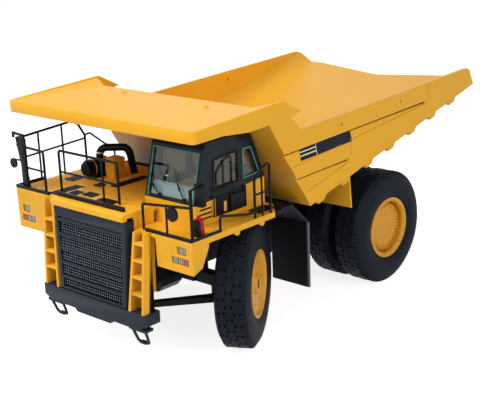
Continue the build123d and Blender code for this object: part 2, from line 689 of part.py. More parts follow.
with BuildPart() as cab_upper:
    side_plate(cab_upper_side, cab_right_y, cab_left_y)
    side_plate(cab_upper_hollow, cab_right_y + cab_wall, cab_left_y - cab_wall,
               mode=Mode.SUBTRACT)
    for window in (door_window, quarter_window):
        side_plate(at_deck(window), cab_right_y - 1, cab_left_y + 1, mode=Mode.SUBTRACT)
    side_plate([(screen_x(screen_foot_z) + 3, screen_foot_z),
                (screen_x(screen_foot_z) - 3, screen_foot_z),
                (screen_x(screen_head_z) - 3, screen_head_z),
                (screen_x(screen_head_z) + 3, screen_head_z)],
               cab_right_y + screen_inset, cab_left_y - screen_inset, mode=Mode.SUBTRACT)
    # rear window
    block((cab_rear_x - 3, 53), (cab_right_y + 5, cab_left_y - 5),
          (left_deck_z + 16, left_deck_z + 25), mode=Mode.SUBTRACT)
finish(cab_upper.part, "cab_upper")

glass_setback = 0.3
with BuildPart() as cab_glass:
    for y in (cab_right_y + glass_setback, cab_left_y - glass_setback - glass_thickness):
        for window in (door_window, quarter_window):
            side_plate(at_deck(window), y, y + glass_thickness)
    front, back = glass_setback, glass_setback + glass_thickness
    side_plate([(screen_x(screen_foot_z) - front, screen_foot_z),
                (screen_x(screen_foot_z) - back, screen_foot_z),
                (screen_x(screen_head_z) - back, screen_head_z),
                (screen_x(screen_head_z) - front, screen_head_z)],
               cab_right_y + screen_inset, cab_left_y - screen_inset)
finish(cab_glass.part, "cab_glass")

waist_slope = (cab_waist_front_z - cab_waist_rear_z) / (waist_front_x - cab_rear_x)
door_head_rear_z = cab_waist_rear_z + (door_rear_x - cab_rear_x) * waist_slope
door_head_front_z = cab_waist_rear_z + (door_front_x - cab_rear_x) * waist_slope
with BuildPart() as cab_door:
    side_plate([(door_rear_x, door_foot_z), (door_front_x, door_foot_z),
                (door_front_x, door_head_front_z), (door_rear_x, door_head_rear_z)],
               cab_left_y - 0.9, cab_left_y + 0.3)
    # raised frame and the slot beside the lock
    side_plate([(57.2, door_foot_z + 0.8), (65.6, door_foot_z + 0.8),
                (65.6, door_head_front_z - 0.3), (57.2, door_head_front_z - 0.3)],
               cab_left_y + 0.3, cab_left_y + 1.1)
    fillet(cab_door.faces().sort_by(Axis.Y)[-1].edges().filter_by(Axis.Y, reverse=True), 0.35)
    block((67.2, 69.0), (cab_left_y - 0.2, cab_left_y + 1), (door_foot_z + 1, door_foot_z + 5.4),
          mode=Mode.SUBTRACT)
finish(cab_door.part, "cab_door")

wheel_hub = (74, 29, left_deck_z + 10)
seat_top_z = left_deck_z + 8.0
with BuildPart() as cab_interior:
    # driver's and trainer's seats: X, Y, width
    for x, y, width in ((58, 29, 9), (52, 19.5, 6.5)):
        block((x - 4, x + 5), (y - width / 2, y + width / 2), (cab_floor_z, seat_top_z))
        side_plate([(x - 4, seat_top_z - 1), (x - 1, seat_top_z - 1), (x - 3, seat_top_z + 10),
                    (x - 5, seat_top_z + 10)], y - width / 2, y + width / 2)
    # console across the front, with the steering wheel on its column
    side_plate([(77, cab_floor_z), (waist_front_x - 1.9, cab_floor_z),
                (waist_front_x - 1.9, left_deck_z + 8.4), (79.5, left_deck_z + 10.2),
                (77.5, left_deck_z + 9)], cab_right_y + cab_wall, cab_left_y - cab_wall)
    bar(wheel_hub, (78.5, wheel_hub[1], left_deck_z + 6.5), 0.8)
    with BuildSketch(Plane(origin=wheel_hub, z_dir=(-4, 0, 3.5))):
        Circle(3.6)
        Circle(2.7, mode=Mode.SUBTRACT)
        Rectangle(6, 1.0)
        Rectangle(1.0, 6)
    extrude(amount=0.8)
finish(cab_interior.part, "cab_interior")

# ----------------------------------------------------- right deck equipment
box_x, box_y = (59.2, 66.0), (-31.7, -25.8)
with BuildPart() as equipment_box:
    block(box_x, box_y, (right_deck_z, right_deck_z + 9.6))
    chamfer(equipment_box.edges().filter_by(Axis.Y).group_by(Axis.Z)[-1], 0.6)
finish(equipment_box.part, "equipment_box")

can_radius = 3.9
can_y = -38.0
can_z = right_deck_z + can_radius + 0.6
duct_radius = 1.7
with BuildPart() as air_cleaner:
    # canister on its saddle, dust cap forward
    bar((60.5, can_y, can_z), (71.0, can_y, can_z), can_radius)
    bar((71.0, can_y, can_z), (72.6, can_y, can_z), can_radius - 0.9)
    block((62, 69), (can_y - 3, can_y + 3), (right_deck_z, can_z))
    # intake duct that arches over the equipment box to the deck behind it
    pipe_run([(64, can_y, can_z), (64, can_y + 1.2, can_z + 8.5), (56, -26.6, can_z + 8.5),
              (54.6, -25, right_deck_z)], duct_radius, 3.4)
finish(air_cleaner.part, "air_cleaner")

# ----------------------------------------------------------------- side tank
tank_x = (rear_axle_x + tyre_radius + 4, front_axle_x - tyre_radius - 13)
tank_inner_y = -19.5
with BuildPart() as side_tank:
    block(tank_x, (-40, tank_inner_y), (axle_z - 5, axle_z + 15))
    fillet(side_tank.edges().filter_by(Axis.X), 3.0)
    for from_front in (13, 6):
        block((tank_x[1] - from_front, tank_x[1] - from_front + 4),
              (tank_inner_y - 0.5, -rail_outer_y), (axle_z + 2, axle_z + 9))
finish(side_tank.part, "side_tank")

# -------------------------------------------------------------- mud guards
flap_x = front_axle_x - tyre_radius - 10
flap_foot_z = axle_z - 11
flap_head_z = axle_z + 19
flap_sheet = 1.0
with BuildPart() as mudguards:
    for side, deck_z in ((LEFT, left_deck_z), (RIGHT, right_deck_z)):
        under = deck_z - deck_thickness
        side_plate([(deck_rear_x + 3, under), (deck_rear_x + 3, under - 1.4),
                    (flap_x + 11.5, under - 1.4), (flap_x, flap_head_z), (flap_x, flap_foot_z),
                    (flap_x - flap_sheet, flap_foot_z), (flap_x - flap_sheet, flap_head_z),
                    (flap_x + 10, under + 0.4), (deck_rear_x, under + 0.4), (deck_rear_x, under)],
                   *span(side, 30, 50.9))
finish(mudguards.part, "mudguards")

# ------------------------------------------------------------------ handrails
with BuildPart() as right_handrails:
    y = -side_rail_y
    deck = right_deck_z
    rear_post_x, step_post_x = 58.8, 46.6
    pipe_run([(96, y, deck + 21.8), (66, y, deck + 23.5), (62.4, y, deck + 21.5),
              (rear_post_x, y, deck + 15.6), (rear_post_x, y, deck)])
    pipe_run([(rear_post_x, y, deck + 15.8), (55.7, y, deck + 16), (step_post_x, y, deck + 8.8),
              (step_post_x, y + 6, deck + 8.8), (step_post_x, y + 6, deck)], mid_rail_radius)
    pipe_run([(96, y, deck + 12.5), (rear_post_x, y, deck + 14.2)], mid_rail_radius)
    for post_x, height in ((85.3, 22.3), (72, 23.1)):
        pipe_run([(post_x, y, deck), (post_x, y, deck + height)], mid_rail_radius)
    # leaning mirror mast, and the rails across the front from it
    mast_foot, mast_head = (96.6, -48.0, deck), (96.2, y, deck + 22.6)
    bar(mast_foot, mast_head, mast_radius)
    front_post_y = -34.5
    pipe_run([(front_rail_x - 0.6, y, deck + 18.8), (front_rail_x, front_post_y, deck + 18.5),
              (front_rail_x, front_post_y, deck)])
    pipe_run([(front_rail_x - 0.6, -49.8, deck + 9.5), (front_rail_x, front_post_y, deck + 9.5)],
             mid_rail_radius)
    # toe boards along the front and the outer edge
    block((front_rail_x + 0.4, deck_front_x), (-deck_outer_y, -nose_half_width - 9), (deck, deck + 1.4))
    block((84, front_rail_x + 0.4), (-deck_outer_y, -deck_outer_y + 0.5), (deck, deck + 1.4))
finish(right_handrails.part, "right_handrails")

with BuildPart() as front_handrails:
    x = hood_rail_x
    right_post_y, mid_post_y, left_post_y = -nose_half_width - 4.0, 1, 10.4
    rail_z = right_deck_z + 19.8
    pipe_run([(x, right_post_y, right_deck_z), (x, right_post_y, rail_z),
              (x, left_post_y, rail_z), (x, left_post_y, hood_top_z)])
    pipe_run([(x, right_post_y, rail_z - 9.2), (x, left_post_y, rail_z - 9.2)], mid_rail_radius)
    pipe_run([(x, mid_post_y, hood_top_z), (x, mid_post_y, rail_z)], mid_rail_radius)
    # toe board behind the hood's lip
    block((bumper_front_x - 4.6, bumper_front_x - 3.4), (-nose_half_width + 0.6, nose_half_width - 3),
          (hood_top_z, hood_top_z + 1.8))
finish(front_handrails.part, "front_handrails")

with BuildPart() as left_handrails:
    x, y = front_rail_x, side_rail_y
    deck = left_deck_z
    corner_radius = 0.7
    bar((x, y, deck), (x, y, deck + 20.6), corner_radius)
    pipe_run([(x, y, deck + 20.2), (x - 4.6, y, deck + 21)], mid_rail_radius)
    # front rail from the ladder head to the corner post
    hoop_inner_y, hoop_mid_y = ladder_inner_head + 1.4, 39.5
    pipe_run([(x, hoop_inner_y, deck), (x, hoop_inner_y, deck + 10.6), (x, y, deck + 13.4)])
    pipe_run([(x, hoop_mid_y, deck), (x, hoop_mid_y, deck + 12)], mid_rail_radius)
    # low rail along the walkway, then the taller hoop behind the cab door
    low_rail_x = (82.0, 66.0)
    hoop_x = (61.4, 56.9, 51.9)
    pipe_run([(low_rail_x[0], y, deck), (low_rail_x[0], y, deck + 6.2),
              (low_rail_x[1], y, deck + 2.8), (hoop_x[0], y, deck + 2.8)])
    pipe_run([(hoop_x[0], y, deck), (hoop_x[0], y, deck + 15.6), (hoop_x[1], y, deck + 20),
              (hoop_x[2], y, deck + 21.4), (hoop_x[2], y, deck)])
    pipe_run([(hoop_x[1], y, deck), (hoop_x[1], y, deck + 19.8)], mid_rail_radius)
    pipe_run([(hoop_x[0], y, deck + 9.6), (hoop_x[2], y, deck + 9.8)], mid_rail_radius)
    # toe boards round the walkway's front corner
    block((front_rail_x + 0.4, deck_front_x), (nose_half_width + 6, deck_outer_y), (deck, deck + 1.2))
    block((low_rail_x[0], front_rail_x + 0.4), (deck_outer_y - 0.5, deck_outer_y), (deck, deck + 1.2))
finish(left_handrails.part, "left_handrails")

# -------------------------------------------------------------------- mirrors
with BuildPart() as mirrors:
    # round mirror on the front rail, and the tall one hung from the corner post
    bar((front_rail_x + 0.6, 43.8, left_deck_z + 9.6), (front_rail_x + 1.4, 43.8, left_deck_z + 9.6), 2.9)
    tall_x = front_rail_x - 4.6
    block((tall_x - 1.6, tall_x), (side_rail_y - 2.4, side_rail_y + 2.2),
          (left_deck_z + 12.6, left_deck_z + 21.8))
    fillet(mirrors.solids().sort_by(Axis.X)[0].edges().filter_by(Axis.X), 1.0)
    # round mirror on an arm outside the right mast
    arm_rise = 12.0
    arm_z = right_deck_z + arm_rise
    mast_y = mast_foot[1] + (mast_head[1] - mast_foot[1]) * arm_rise / (mast_head[2] - mast_foot[2])
    bar((96.4, mast_y - mast_radius - 0.02, arm_z), (97.2, -side_rail_y - 2.6, arm_z), 0.4)
    bar((97.0, -side_rail_y - 3.0, arm_z - 1.6), (97.8, -side_rail_y - 3.0, arm_z - 1.6), 2.2)
finish(mirrors.part, "mirrors")

# ------------------------------------------------------------- extinguisher
with BuildPart() as fire_extinguisher:
    bar((90.4, 50, left_deck_z), (90.4, 50, left_deck_z + 6.6), 2.0)
    bar((90.4, 50, left_deck_z + 6.6), (90.4, 50, left_deck_z + 8), 0.8)
finish(fire_extinguisher.part, "fire_extinguisher")

# ------------------------------------------------------------------------ bed
floor_rise = (bed_tail_z - bed_front_z) / (bed_front_x - bed_tail_x)
floor_slope = atan2(bed_tail_z - bed_front_z, bed_front_x - bed_tail_x)
canopy_under_z = canopy_top_z - canopy_sheet


def floor_under(x):
    """Height of the bed floor's underside at a distance along the truck."""
    return bed_front_z + (bed_front_x - x) * floor_rise


def headboard_at(z):
    """Place of the headboard's front face along the truck at a height."""
    return bed_front_x + (z - bed_front_z) * headboard_slope


bed_side = [
    (bed_front_x, bed_front_z), (headboard_at(canopy_under_z), canopy_under_z),
    (canopy_rear_x, canopy_under_z), (42, canopy_top_z - 5), (40, canopy_top_z - 4.6),
    (bed_side_front_x, bed_side_front_z), (bed_tail_x + 6.1, bed_tail_top_z),
    (bed_tail_x + 4, bed_tail_top_z - 1), (bed_tail_x, bed_tail_z),
]
inner_half = half_bed - bed_wall
across_floor = Plane(origin=(bed_front_x, 0, bed_front_z), x_dir=(0, -1, 0),
                     z_dir=(-cos(floor_slope), 0, sin(floor_slope)))
corner_top = bed_floor + floor_vee + floor_corner
load_section = [
    (0, bed_floor), (inner_half - floor_corner, bed_floor + floor_vee), (inner_half, corner_top),
    (inner_half, 70), (-inner_half, 70), (-inner_half, corner_top),
    (-inner_half + floor_corner, bed_floor + floor_vee),
]
with BuildPart() as load_space:
    extrude(outline(across_floor.offset(-70), load_section), amount=bed_front_x - bed_tail_x + 120)
    side_plate([(headboard_at(bed_front_z - 10) - headboard_wall, bed_front_z - 10),
                (headboard_at(canopy_top_z + 9) - headboard_wall, canopy_top_z + 9),
                (bed_tail_x - 25, canopy_top_z + 9), (bed_tail_x - 25, bed_front_z - 10)],
               -half_bed, half_bed, mode=Mode.INTERSECT)

# Pressed ledges in each side wall, where the sheet above steps out over the tapering fold
# below it: front X with the ledge's and crease's heights there, then the same at the rear.
# Heights are above the bed's front foot.
pressed_ledges = (
    (50.0, 25.6, 18.4, hinge_x + 4.4, 29.6, 28.2),
    (40.0, 13.7, 4.4, 0.1, 14.8, 13.3),
)
# sling holes through both side walls: X, height above the bed's front foot
sling_holes = ((5.3, 31.0), (rear_axle_x - 2.9, 33.0))


def ledge_section(x, side, ledge, crease):
    """Section of a pressed ledge's step across one side wall."""
    return outline(Plane.YZ.offset(x), mirrored([
        (half_bed + 0.5, bed_front_z + ledge), (half_bed - ledge_depth, bed_front_z + ledge),
        (half_bed, bed_front_z + crease), (half_bed + 0.5, bed_front_z + crease)], side))


with BuildPart() as dump_body:
    side_plate(bed_side, -half_bed, half_bed)
    add(load_space.part, mode=Mode.SUBTRACT)
    # shallow notch across the tail, deepest in the middle
    level_plate([(bed_tail_x - 4, -inner_half), (bed_tail_x, -inner_half),
                 (bed_tail_x + tail_notch, 0), (bed_tail_x, inner_half),
                 (bed_tail_x - 4, inner_half)], bed_front_z, canopy_top_z, mode=Mode.SUBTRACT)
    for side in (LEFT, RIGHT):
        for x_front, ledge_front, crease_front, x_rear, ledge_rear, crease_rear in pressed_ledges:
            loft([ledge_section(x_front, side, ledge_front, crease_front),
                  ledge_section(x_rear, side, ledge_rear, crease_rear)],
                 ruled=True, mode=Mode.SUBTRACT)
    for x, height in sling_holes:
        bar((x, -half_bed - 1, bed_front_z + height), (x, half_bed + 1, bed_front_z + height),
            sling_hole_radius, mode=Mode.SUBTRACT)
finish(dump_body.part, "dump_body")

with BuildPart() as canopy:
    fold_y = canopy_half - fold_inset
    level_plate([(canopy_front_x, -canopy_half), (canopy_front_x, canopy_half),
                 (canopy_rear_x, fold_y), (canopy_rear_x, -fold_y)], canopy_under_z, canopy_top_z)
    block((canopy_front_x - canopy_sheet, canopy_front_x), (-canopy_half, canopy_half),
          (canopy_top_z - canopy_lip, canopy_top_z))
    for side in (LEFT, RIGHT):
        flange = [(canopy_front_x, canopy_top_z), (canopy_front_x, canopy_top_z - canopy_lip),
                  (canopy_front_x - 15.8, canopy_top_z - 4.6), (66.4, canopy_top_z - 6.1),
                  (43.2, canopy_top_z - 5.2), (34, canopy_top_z - 3.7),
                  (flange_rear_x, canopy_top_z + flange_rise)]
        side_plate(flange, *span(side, half_bed, canopy_half))
    # round off the two front corners
    for side in (LEFT, RIGHT):
        centre_x, centre_y = canopy_front_x - canopy_corner_radius, canopy_half - canopy_corner_radius
        waste = [(centre_x + canopy_corner_radius * cos(radians(turn)),
                  centre_y + canopy_corner_radius * sin(radians(turn))) for turn in (0, 30, 60, 90)]
        waste += [(centre_x, canopy_half + 1), (canopy_front_x + 1, canopy_half + 1),
                  (canopy_front_x + 1, centre_y)]
        level_plate([(x, side * y) for x, y in waste],
                    canopy_top_z - canopy_lip - 1, canopy_top_z + flange_rise, mode=Mode.SUBTRACT)
    # sheet folded up from the roof into each side flange
    for side in (LEFT, RIGHT):
        folded_sheet([(canopy_front_x - fold_start * (canopy_front_x - canopy_rear_x),
                       side * (canopy_half - fold_start * fold_inset), canopy_top_z),
                      (canopy_rear_x, side * fold_y, canopy_top_z),
                      (flange_rear_x + fold_lap, side * (canopy_half - fold_lap),
                       canopy_top_z + flange_rise - fold_lap)],
                     canopy_sheet)
finish(canopy.part, "canopy")

with BuildPart() as floor_ribs:
    centre_half = rail_inner_y - rib_clearance
    for index in range(rib_count):
        x = bed_front_x - 9.0 - index * rib_pitch
        section = [(x + offset, floor_under(x + offset) - depth)
                   for offset, depth in ((-rib_width / 2, 0), (-rib_width / 4, rib_depth),
                                         (rib_width / 4, rib_depth), (rib_width / 2, 0))]
        for y_from, y_to in ((-half_bed + 1, -rail_outer_y), (-centre_half, centre_half),
                             (rail_outer_y, half_bed - 1)):
            side_plate(section, y_from, y_to)
finish(floor_ribs.part, "floor_ribs")

sill_foot_z = rail_top_rear + 0.3
ear_inner_y, ear_outer_y = rail_outer_y + 0.3, rail_outer_y + 2.4
ear_front_x = hinge_x + 9
with BuildPart() as bed_sills:
    for side in (LEFT, RIGHT):
        near, far = span(side, rail_inner_y, rail_outer_y)
        side_plate([(bed_front_x - 2, sill_foot_z), (bed_front_x - 2, floor_under(bed_front_x - 2)),
                    (hinge_x - 5, floor_under(hinge_x - 5)), (hinge_x - 5, sill_foot_z)], near, far)
        # ear plate outside the frame rail, down to the hinge pin
        side_plate([(hinge_x - 4, hinge_z), (hinge_x + 4, hinge_z), (ear_front_x, hinge_z + 11),
                    (ear_front_x, hinge_z + 21), (hinge_x - 4, hinge_z + 21)],
                   *span(side, ear_inner_y, ear_outer_y))
        bar((hinge_x, side * ear_inner_y, hinge_z), (hinge_x, side * ear_outer_y, hinge_z), 4.0)
        block((hinge_x - 4, ear_front_x), span(side, rail_outer_y, rail_outer_y + 0.5),
              (hinge_z + 11, hinge_z + 21))
        # boss that the hoist's rod eye works against
        bar((hoist_eye_x, side * rail_outer_y, hoist_eye_z),
            (hoist_eye_x, side * (rail_outer_y + 1.2), hoist_eye_z), hoist_clevis_radius)
    bar((hinge_x, -20, hinge_z), (hinge_x, 20, hinge_z), hinge_pin_radius + running_gap,
        mode=Mode.SUBTRACT)
finish(bed_sills.part, "bed_sills")

guard_x = rear_axle_x + tyre_radius + 1.4
guard_sheet = 1.0
with BuildPart() as rock_guards:
    for side in (LEFT, RIGHT):
        head_z = floor_under(guard_x + guard_sheet)
        front_plate(mirrored([(33.4, axle_z + 16.9), (50.0, axle_z + 17.1), (48.6, head_z),
                              (33.4, head_z)], side), guard_x, guard_x + guard_sheet)
finish(rock_guards.part, "rock_guards")

# ---------------------------------------------------------------------- hoist
hoist_run = Vector(hoist_eye_x - hoist_base_x, 0, hoist_eye_z - hoist_base_z)
hoist_dir = hoist_run.normalized()
for name, side in SIDES:
    base = Vector(hoist_base_x, side * hoist_y, hoist_base_z)
    eye = base + hoist_run
    with BuildPart() as hoist_barrel:
        bar(tuple(base + hoist_dir * 1.6), tuple(base + hoist_dir * barrel_length), barrel_radius)
        bar((base.X, base.Y - 1.8, base.Z), (base.X, base.Y + 1.8, base.Z), hoist_clevis_radius)
        bar(tuple(base + hoist_dir * 7), tuple(base + hoist_dir * (barrel_length + 1)),
            rod_radius + running_gap, mode=Mode.SUBTRACT)
        bar((base.X, base.Y - 4, base.Z), (base.X, base.Y + 4, base.Z),
            hoist_pin_radius + running_gap, mode=Mode.SUBTRACT)
    finish(hoist_barrel.part, f"{name}_hoist_barrel")
    with BuildPart() as hoist_rod:
        bar(tuple(base + hoist_dir * 8), tuple(eye), rod_radius)
        bar((eye.X, eye.Y - 1.6, eye.Z), (eye.X, eye.Y + 1.6, eye.Z), 2.2)
    finish(hoist_rod.part, f"{name}_hoist_rod")

for piece in pieces:
    export_step(piece, f"parts/{piece.label}.step")
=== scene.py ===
import bmesh
import bpy
import json
from math import cos, pi, radians, sin
from mathutils import Matrix, Vector
from mathutils.bvhtree import BVHTree


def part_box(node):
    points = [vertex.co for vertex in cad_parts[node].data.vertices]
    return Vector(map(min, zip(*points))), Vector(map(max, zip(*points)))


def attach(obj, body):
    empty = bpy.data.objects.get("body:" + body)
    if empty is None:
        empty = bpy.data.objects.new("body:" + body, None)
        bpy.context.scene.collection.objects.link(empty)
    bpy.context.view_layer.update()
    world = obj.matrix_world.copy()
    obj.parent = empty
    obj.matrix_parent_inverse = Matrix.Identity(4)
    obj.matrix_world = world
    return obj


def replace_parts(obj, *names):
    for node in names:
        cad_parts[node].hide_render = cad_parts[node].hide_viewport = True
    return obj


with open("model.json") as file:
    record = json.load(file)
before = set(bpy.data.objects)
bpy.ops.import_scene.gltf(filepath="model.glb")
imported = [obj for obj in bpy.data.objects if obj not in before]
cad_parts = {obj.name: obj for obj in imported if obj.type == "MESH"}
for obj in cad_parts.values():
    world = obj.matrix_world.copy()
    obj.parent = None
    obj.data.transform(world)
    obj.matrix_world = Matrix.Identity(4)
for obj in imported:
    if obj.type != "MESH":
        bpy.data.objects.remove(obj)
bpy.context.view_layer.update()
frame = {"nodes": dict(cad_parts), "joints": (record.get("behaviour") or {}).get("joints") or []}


# ---- Studio
# A white sweep of paper under a large overhead softbox, with smaller lamps left and ahead.
# The model stands on it with its nose turned towards the lens.

MM = 0.001


def linear(hex_colour):
    """Turn an sRGB hex colour into the linear colour that a shader reads."""
    channels = [int(hex_colour[at:at + 2], 16) / 255 for at in (1, 3, 5)]
    return (*(c / 12.92 if c <= 0.04045 else ((c + 0.055) / 1.055) ** 2.4 for c in channels), 1.0)


def add(tree, kind, inputs=None, **settings):
    """Add one shader node with its settings, and set or link its inputs."""
    made = tree.nodes.new(kind)
    for name, value in settings.items():
        setattr(made, name, value)
    for name, value in (inputs or {}).items():
        if isinstance(value, bpy.types.NodeSocket):
            tree.links.new(value, made.inputs[name])
        else:
            made.inputs[name].default_value = value
    return made


def new_material(name):
    """Start an empty material and return it with its node tree."""
    made = bpy.data.materials.new(name)
    made.use_nodes = True
    made.node_tree.nodes.clear()
    return made, made.node_tree


def white_in_mirrors(tree, path, lit):
    """Show plain white in reflections and through glass, and the lit surface to all else."""
    mirrored = add(tree, "ShaderNodeMath", {0: path.outputs["Is Glossy Ray"],
                                            1: path.outputs["Is Transmission Ray"]}, operation="MAXIMUM")
    white = add(tree, "ShaderNodeEmission", {"Color": linear("#ffffff"), "Strength": 1.0})
    return add(tree, "ShaderNodeMixShader", {0: mirrored.outputs[0], 1: lit, 2: white.outputs[0]})


world = bpy.data.worlds.new("studio")
bpy.context.scene.world = world
world.use_nodes = True
world.node_tree.nodes.clear()
path = add(world.node_tree, "ShaderNodeLightPath")
room = add(world.node_tree, "ShaderNodeBackground", {"Color": linear("#f4f6fa"), "Strength": 0.24})
white = add(world.node_tree, "ShaderNodeBackground", {"Color": linear("#ffffff"), "Strength": 1.0})
seen = add(world.node_tree, "ShaderNodeMixShader", {0: path.outputs["Is Camera Ray"],
                                                    1: room.outputs[0], 2: white.outputs[0]})
mixed = white_in_mirrors(world.node_tree, path, seen.outputs[0])
add(world.node_tree, "ShaderNodeOutputWorld", {"Surface": mixed.outputs[0]})

# The paper glows to the lens alone, so that it is white there and still takes the shadow.
paper, tree = new_material("white_paper")
path = add(tree, "ShaderNodeLightPath")
matt = add(tree, "ShaderNodeBsdfDiffuse", {"Color": linear("#d2d2d2")})
glow = add(tree, "ShaderNodeEmission", {"Color": linear("#ffffff"), "Strength": 0.82})
lifted = add(tree, "ShaderNodeAddShader", {0: matt.outputs[0], 1: glow.outputs[0]})
seen = add(tree, "ShaderNodeMixShader", {0: path.outputs["Is Camera Ray"],
                                         1: matt.outputs[0], 2: lifted.outputs[0]})
mixed = white_in_mirrors(tree, path, seen.outputs[0])
add(tree, "ShaderNodeOutputMaterial", {"Surface": mixed.outputs[0]})

floor_mesh = bmesh.new()
bmesh.ops.create_grid(floor_mesh, x_segments=1, y_segments=1, size=3.0)
floor_data = bpy.data.meshes.new("floor")
floor_mesh.to_mesh(floor_data)
floor_mesh.free()
floor = bpy.data.objects.new("floor", floor_data)
floor.data.materials.append(paper)
bpy.context.scene.collection.objects.link(floor)

lamps_aim = Vector((0.0, 0.0, 0.05))
for name, place, size, power in (("softbox", (0.42, -0.16, 0.72), 0.60, 6.4),
                                 ("side_lamp", (0.16, 0.74, 0.32), 0.40, 2.6),
                                 ("front_lamp", (0.80, 0.26, 0.24), 0.30, 0.9)):
    lamp = bpy.data.lights.new(name, "AREA")
    lamp.energy = power
    lamp.size = size
    holder = bpy.data.objects.new(name, lamp)
    holder.location = place
    holder.rotation_euler = (lamps_aim - holder.location).to_track_quat("-Z", "Y").to_euler()
    bpy.context.scene.collection.objects.link(holder)

# The lens looks down on the left front corner, with a slight roll.
lens_place = Vector((369.8, 328.7, 190.8))
heading, pitch, roll = radians(222.59), radians(-16.80), radians(-2.29)
ahead = Vector((cos(heading) * cos(pitch), sin(heading) * cos(pitch), sin(pitch)))
level = Vector((sin(heading), -cos(heading), 0.0))
above = level.cross(ahead)
across = level * cos(roll) + above * sin(roll)
upward = above * cos(roll) - level * sin(roll)
camera_data = bpy.data.cameras.new("camera")
camera_data.lens = 80.8
camera_data.sensor_width = 36.0
camera_data.clip_start = 0.01
camera = bpy.data.objects.new("camera", camera_data)
turn = Matrix((across, upward, -ahead)).transposed()
camera.matrix_world = Matrix.Translation(lens_place * MM) @ turn.to_4x4()
bpy.context.scene.collection.objects.link(camera)
bpy.context.scene.camera = camera
bpy.context.scene.view_settings.view_transform = "Standard"


# ---- Bed, canopy and their ribs
# Zinc castings sprayed with enamel, which rounds every edge a little, is a touch deeper in
# colour where it pooled, and leaves a faint orange peel about 0.7 mm across.

cloud_size, grain_size, grain_depth = 18 * MM, 0.7 * MM, 0.02 * MM


def grained(name, hex_colour, deeper, roughness, grain, shine=0.25):
    """A sprayed, printed or moulded surface in two close shades, with a fine grain.

    The grain is the same size on all of them. On moulded plastic and rubber it stands for a
    spark-eroded texture of about 0.1 mm, which is drawn this coarse so that it shows.
    """
    made, tree = new_material(name)
    place = add(tree, "ShaderNodeTexCoord")
    cloud = add(tree, "ShaderNodeTexNoise", {"Vector": place.outputs["Object"],
                                             "Scale": 1 / cloud_size, "Detail": 3.0})
    tint = add(tree, "ShaderNodeMix", {"Factor": cloud.outputs["Fac"], 6: linear(hex_colour),
                                       7: linear(deeper)}, data_type="RGBA")
    speckle = add(tree, "ShaderNodeTexNoise", {"Vector": place.outputs["Object"],
                                               "Scale": 1 / grain_size, "Detail": 2.0})
    bump = add(tree, "ShaderNodeBump", {"Height": speckle.outputs["Fac"], "Strength": grain,
                                        "Distance": grain_depth})
    coat = add(tree, "ShaderNodeBsdfPrincipled", {
        "Base Color": tint.outputs[2], "Roughness": roughness, "Specular IOR Level": shine,
        "Normal": bump.outputs[0]})
    add(tree, "ShaderNodeOutputMaterial", {"Surface": coat.outputs[0]})
    return made


def settle(name, mesh, material, body, sharp=30, flat_above=1e9):
    """Turn a bmesh drawn in millimetres into a piece that rides on a CAD body."""
    for face in mesh.faces:
        face.smooth = face.calc_area() < flat_above
    bmesh.ops.scale(mesh, vec=(MM, MM, MM), verts=mesh.verts)
    data = bpy.data.meshes.new(name)
    mesh.to_mesh(data)
    mesh.free()
    data.materials.append(material)
    data.set_sharp_from_angle(angle=radians(sharp))
    made = bpy.data.objects.new(name, data)
    bpy.context.scene.collection.objects.link(made)
    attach(made, body)
    return made


def softened(node, material, body, edge, shortest=2.0):
    """Replace a CAD node by a copy of itself whose long sharp edges are rounded."""
    mesh = bmesh.new()
    mesh.from_mesh(frame["nodes"][node].data)
    bmesh.ops.scale(mesh, vec=(1 / MM,) * 3, verts=mesh.verts)
    bmesh.ops.remove_doubles(mesh, verts=mesh.verts, dist=0.001)
    bmesh.ops.dissolve_limit(mesh, angle_limit=radians(1), verts=mesh.verts, edges=mesh.edges)
    long_edges = [e for e in mesh.edges if len(e.link_faces) == 2 and e.calc_length() > shortest
                  and e.calc_face_angle() > radians(28)]
    bmesh.ops.bevel(mesh, geom=long_edges, offset=edge, segments=2, profile=0.5, affect="EDGES",
                    material=-1, clamp_overlap=True)
    # Faces over 6 square mm are panels, and stay flat between their rounded edges.
    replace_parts(settle(f"painted_{node}", mesh, material, body, sharp=24, flat_above=6.0), node)


def finish_in(material, *nodes):
    """Give CAD nodes their real finish."""
    for name in nodes:
        for place in frame["nodes"][name].material_slots:
            place.material = material


# The enamel is between satin and gloss: soft bright lines run along the rounded edges.
body_enamel = grained("yellow_enamel_on_zinc", "#efb12e", "#e7a726", 0.36, 0.25, 0.17)
for node, edge in (("dump_body", 0.3), ("canopy", 0.4), ("rock_guards", 0.2)):
    softened(node, body_enamel, "bed", edge)
finish_in(body_enamel, "floor_ribs", "bed_sills")


# ---- Painted ledge shade, joint lines, decals and lifting pips on the bed
# Painted shade in brown lies under the lips and along the creases of the two pressed ledges, and a brown
# wash picks out the plate joints. The black band with its cream stripes is a printed film, left without
# any lettering.

bed_side = frame["nodes"]["dump_body"].data
bed_skin = BVHTree.FromPolygons([v.co / MM for v in bed_side.vertices],
                                [list(p.vertices) for p in bed_side.polygons])
beside_bed = 70.0
film_gap = 0.02


def pulled_out(mesh, faces, push):
    """Extrude faces along a vector into a closed solid, and return the corners that moved."""
    grown = bmesh.ops.extrude_face_region(mesh, geom=faces)["geom"]
    moved = [v for v in grown if isinstance(v, bmesh.types.BMVert)]
    bmesh.ops.translate(mesh, vec=push, verts=moved)
    bmesh.ops.recalc_face_normals(mesh, faces=mesh.faces)
    return moved


